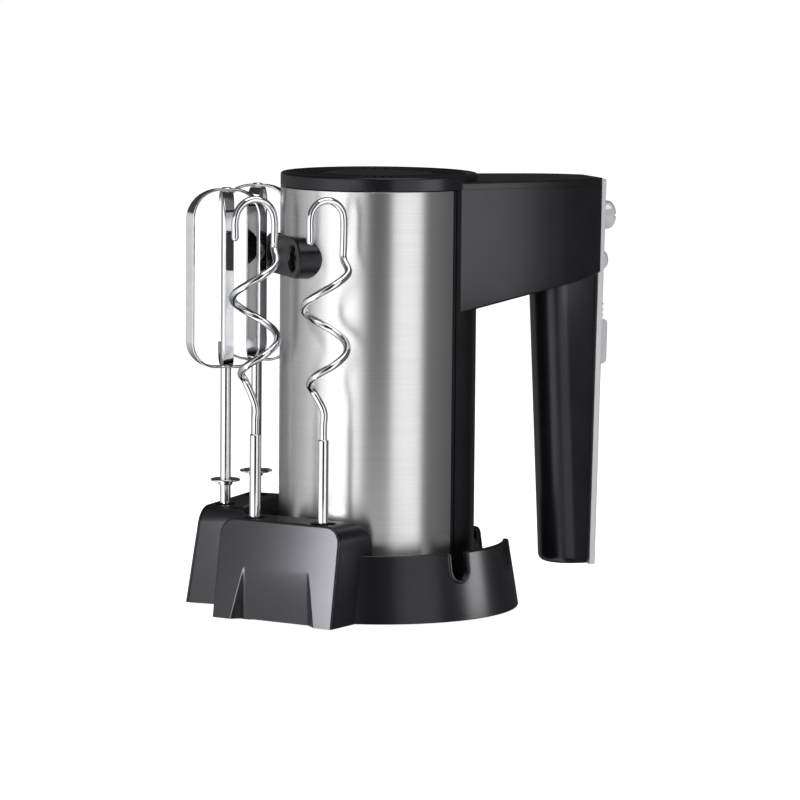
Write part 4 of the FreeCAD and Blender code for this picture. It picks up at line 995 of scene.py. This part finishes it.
# Floor and light
floorSize = dict(half=6.0, colour=(0.93, 0.93, 0.93), glow=0.97)
studio = dict(
    cameraAzimuth=-108.34, turnLow=0.11, turnHigh=0.19,
    low=((-180, 0.05), (-150, 0.22), (-116, 0.50), (-95, 0.80), (-80, 1.15), (-58, 2.3), (-27, 2.3),
    (-20, 1.2), (-14, 0.4), (-9, 0.06),
    (14, 0.04), (26, 0.14), (60, 0.16), (72, 0.22), (84, 0.16), (104, 0.14), (125, 0.08), (179, 0.05)),
    high=((-180, 0.04), (-140, 0.06), (-100, 0.08), (-76, 0.14), (-50, 0.35), (-26, 0.8), (-16, 0.3),
    (-10, 0.03),
    (60, 0.03), (80, 0.2), (100, 0.15), (140, 0.06), (179, 0.04)))


def glowSheet(name, corners, finish, colour, rough, glow):
    # A flat sheet that gives light of its own
    mesh = bpy.data.meshes.new(name)
    mesh.from_pydata([tuple(corner) for corner in corners], [], [[0, 1, 2, 3]])
    sheet = bpy.data.objects.new(name, mesh)
    scene.collection.objects.link(sheet)
    material, _, _, shader = newFinish(finish, colour, 0, rough)
    shader.inputs["Emission Color"].default_value = (1, 1, 1, 1)
    shader.inputs["Emission Strength"].default_value = glow
    mesh.materials.append(material)
    return sheet, shader


def makeFloor(size):
    h = size["half"]
    floor, shader = glowSheet("studioFloor", [(-h, -h, 0), (h, -h, 0), (h, h, 0), (-h, h, 0)], "paleFloor",
        size["colour"], 0.9, size["glow"])
    shader.inputs["Specular IOR Level"].default_value = 0.0
    floor.visible_glossy = False


def lowCard(size):
    # A pale card on the floor before the body, seen only in reflections: it lifts the foot of the dark band
    far, near, half = size["far"], size["near"], size["half"]
    turn = radians(size["turn"])
    ahead, side = array([cos(turn), sin(turn), 0]), array([-sin(turn), cos(turn), 0])
    start = array([size["x"], size["y"], 0.002])
    corners = [start + ahead * reach + side * across
        for reach, across in ((near, -half), (near, half), (far, half), (far, -half))]
    card, _ = glowSheet("lowCard", corners, "lowCardGlow", (0, 0, 0), 1, size["glow"])
    card.visible_camera = card.visible_diffuse = card.visible_shadow = False


def brightnessRamp(nodes, stops, strongest):
    # Brightness against the angle from the camera's side, as a share of the strongest
    ramp = nodes.new("ShaderNodeValToRGB")
    for i, (degrees, value) in enumerate(stops):
        place = (degrees + 180) / 360
        stop = ramp.color_ramp.elements[i] if i < 2 else ramp.color_ramp.elements.new(place)
        stop.position = place
        stop.color = (value / strongest,) * 3 + (1,)
    return ramp


def makeStudio(size):
    # Brightness of the surroundings by direction round the object: two broad panels with a dark gap between
    world = bpy.data.worlds.new("studio")
    scene.world = world
    world.use_nodes = True
    nodes, links = world.node_tree.nodes, world.node_tree.links
    coordinate = nodes.new("ShaderNodeTexCoord")
    turn = newNode(nodes, "VectorRotate", Angle=-radians(size["cameraAzimuth"]))
    turn.rotation_type = "Z_AXIS"
    split, angle = nodes.new("ShaderNodeSeparateXYZ"), nodes.new("ShaderNodeMath")
    angle.operation = "ARCTAN2"
    share = newNode(nodes, "MapRange", From_Min=-pi, From_Max=pi)
    height = newNode(nodes, "MapRange", From_Min=size["turnLow"], From_Max=size["turnHigh"])
    height.interpolation_type = "SMOOTHSTEP"
    strongest = max(value for _, value in size["low"] + size["high"])
    ramps = [brightnessRamp(nodes, size[name], strongest) for name in ("low", "high")]
    blend = nodes.new("ShaderNodeMix")
    blend.data_type = "RGBA"
    for ramp, socket in zip(ramps, ("A", "B")):
        links.new(share.outputs["Result"], ramp.inputs["Fac"])
        plugs = [plug for plug in blend.inputs if plug.name == socket and plug.type == "RGBA"]
        links.new(ramp.outputs["Color"], plugs[0])
    background = nodes["Background"]
    background.inputs["Strength"].default_value = strongest
    white = newNode(nodes, "Background", Color=(1, 1, 1, 1), Strength=1.0)
    seen, mix = nodes.new("ShaderNodeLightPath"), nodes.new("ShaderNodeMixShader")
    links.new(coordinate.outputs["Generated"], turn.inputs["Vector"])
    links.new(turn.outputs["Vector"], split.inputs["Vector"])
    links.new(split.outputs["Y"], angle.inputs[0])
    links.new(split.outputs["X"], angle.inputs[1])
    links.new(angle.outputs["Value"], share.inputs["Value"])
    links.new(split.outputs["Z"], height.inputs["Value"])
    links.new(height.outputs["Result"], blend.inputs["Factor"])
    links.new([plug for plug in blend.outputs if plug.type == "RGBA"][0], background.inputs["Color"])
    links.new(seen.outputs["Is Camera Ray"], mix.inputs["Fac"])
    links.new(background.outputs["Background"], mix.inputs[1])
    links.new(white.outputs["Background"], mix.inputs[2])
    links.new(mix.outputs["Shader"], nodes["World Output"].inputs["Surface"])


def softPanel(name, place, aim, width, height, power, *only):
    # A rectangular light; when pieces are named, flags keep its light on them alone
    data = bpy.data.lights.new(name, "AREA")
    data.shape, data.size, data.size_y, data.energy = "RECTANGLE", width, height, power
    panel = bpy.data.objects.new(name, data)
    panel.location = place
    panel.rotation_euler = (Vector(aim) - Vector(place)).to_track_quat("-Z", "Y").to_euler()
    scene.collection.objects.link(panel)
    if only:
        lit = bpy.data.collections.new(name + "Lit")
        for piece in only:
            lit.objects.link(bpy.data.objects[piece])
        panel.light_linking.receiver_collection = lit


makeFloor(floorSize)
makeStudio(studio)
lowCard(dict(x=-0.0136, y=-0.0455, turn=-104.8, near=0.06, far=0.42, half=0.075, glow=0.9))
softPanel("nearLeft", (-0.182, -0.108, 0.062), (-0.05, -0.066, 0.03), 0.06, 0.12, 0.54, "baseShell")
softPanel("nearRight", (0.068, -0.285, 0.10), (0.0, -0.04, 0.10), 0.18, 0.42, 0.32)
softPanel("ringRight", (0.19, -0.112, 0.042), (0.031, -0.061, 0.02), 0.07, 0.06, 0.12, "baseShell",
    "cordNotchLip")
softPanel("armRoot", (0.105, -0.135, 0.185), (0.03, -0.038, 0.185), 0.07, 0.10, 0.055, "leftHousing",
    "frontCover")
softPanel("topPanel", (0.1, -0.4, 1.3), (0, 0, 0.1), 1.0, 1.0, 8)
print("light set")
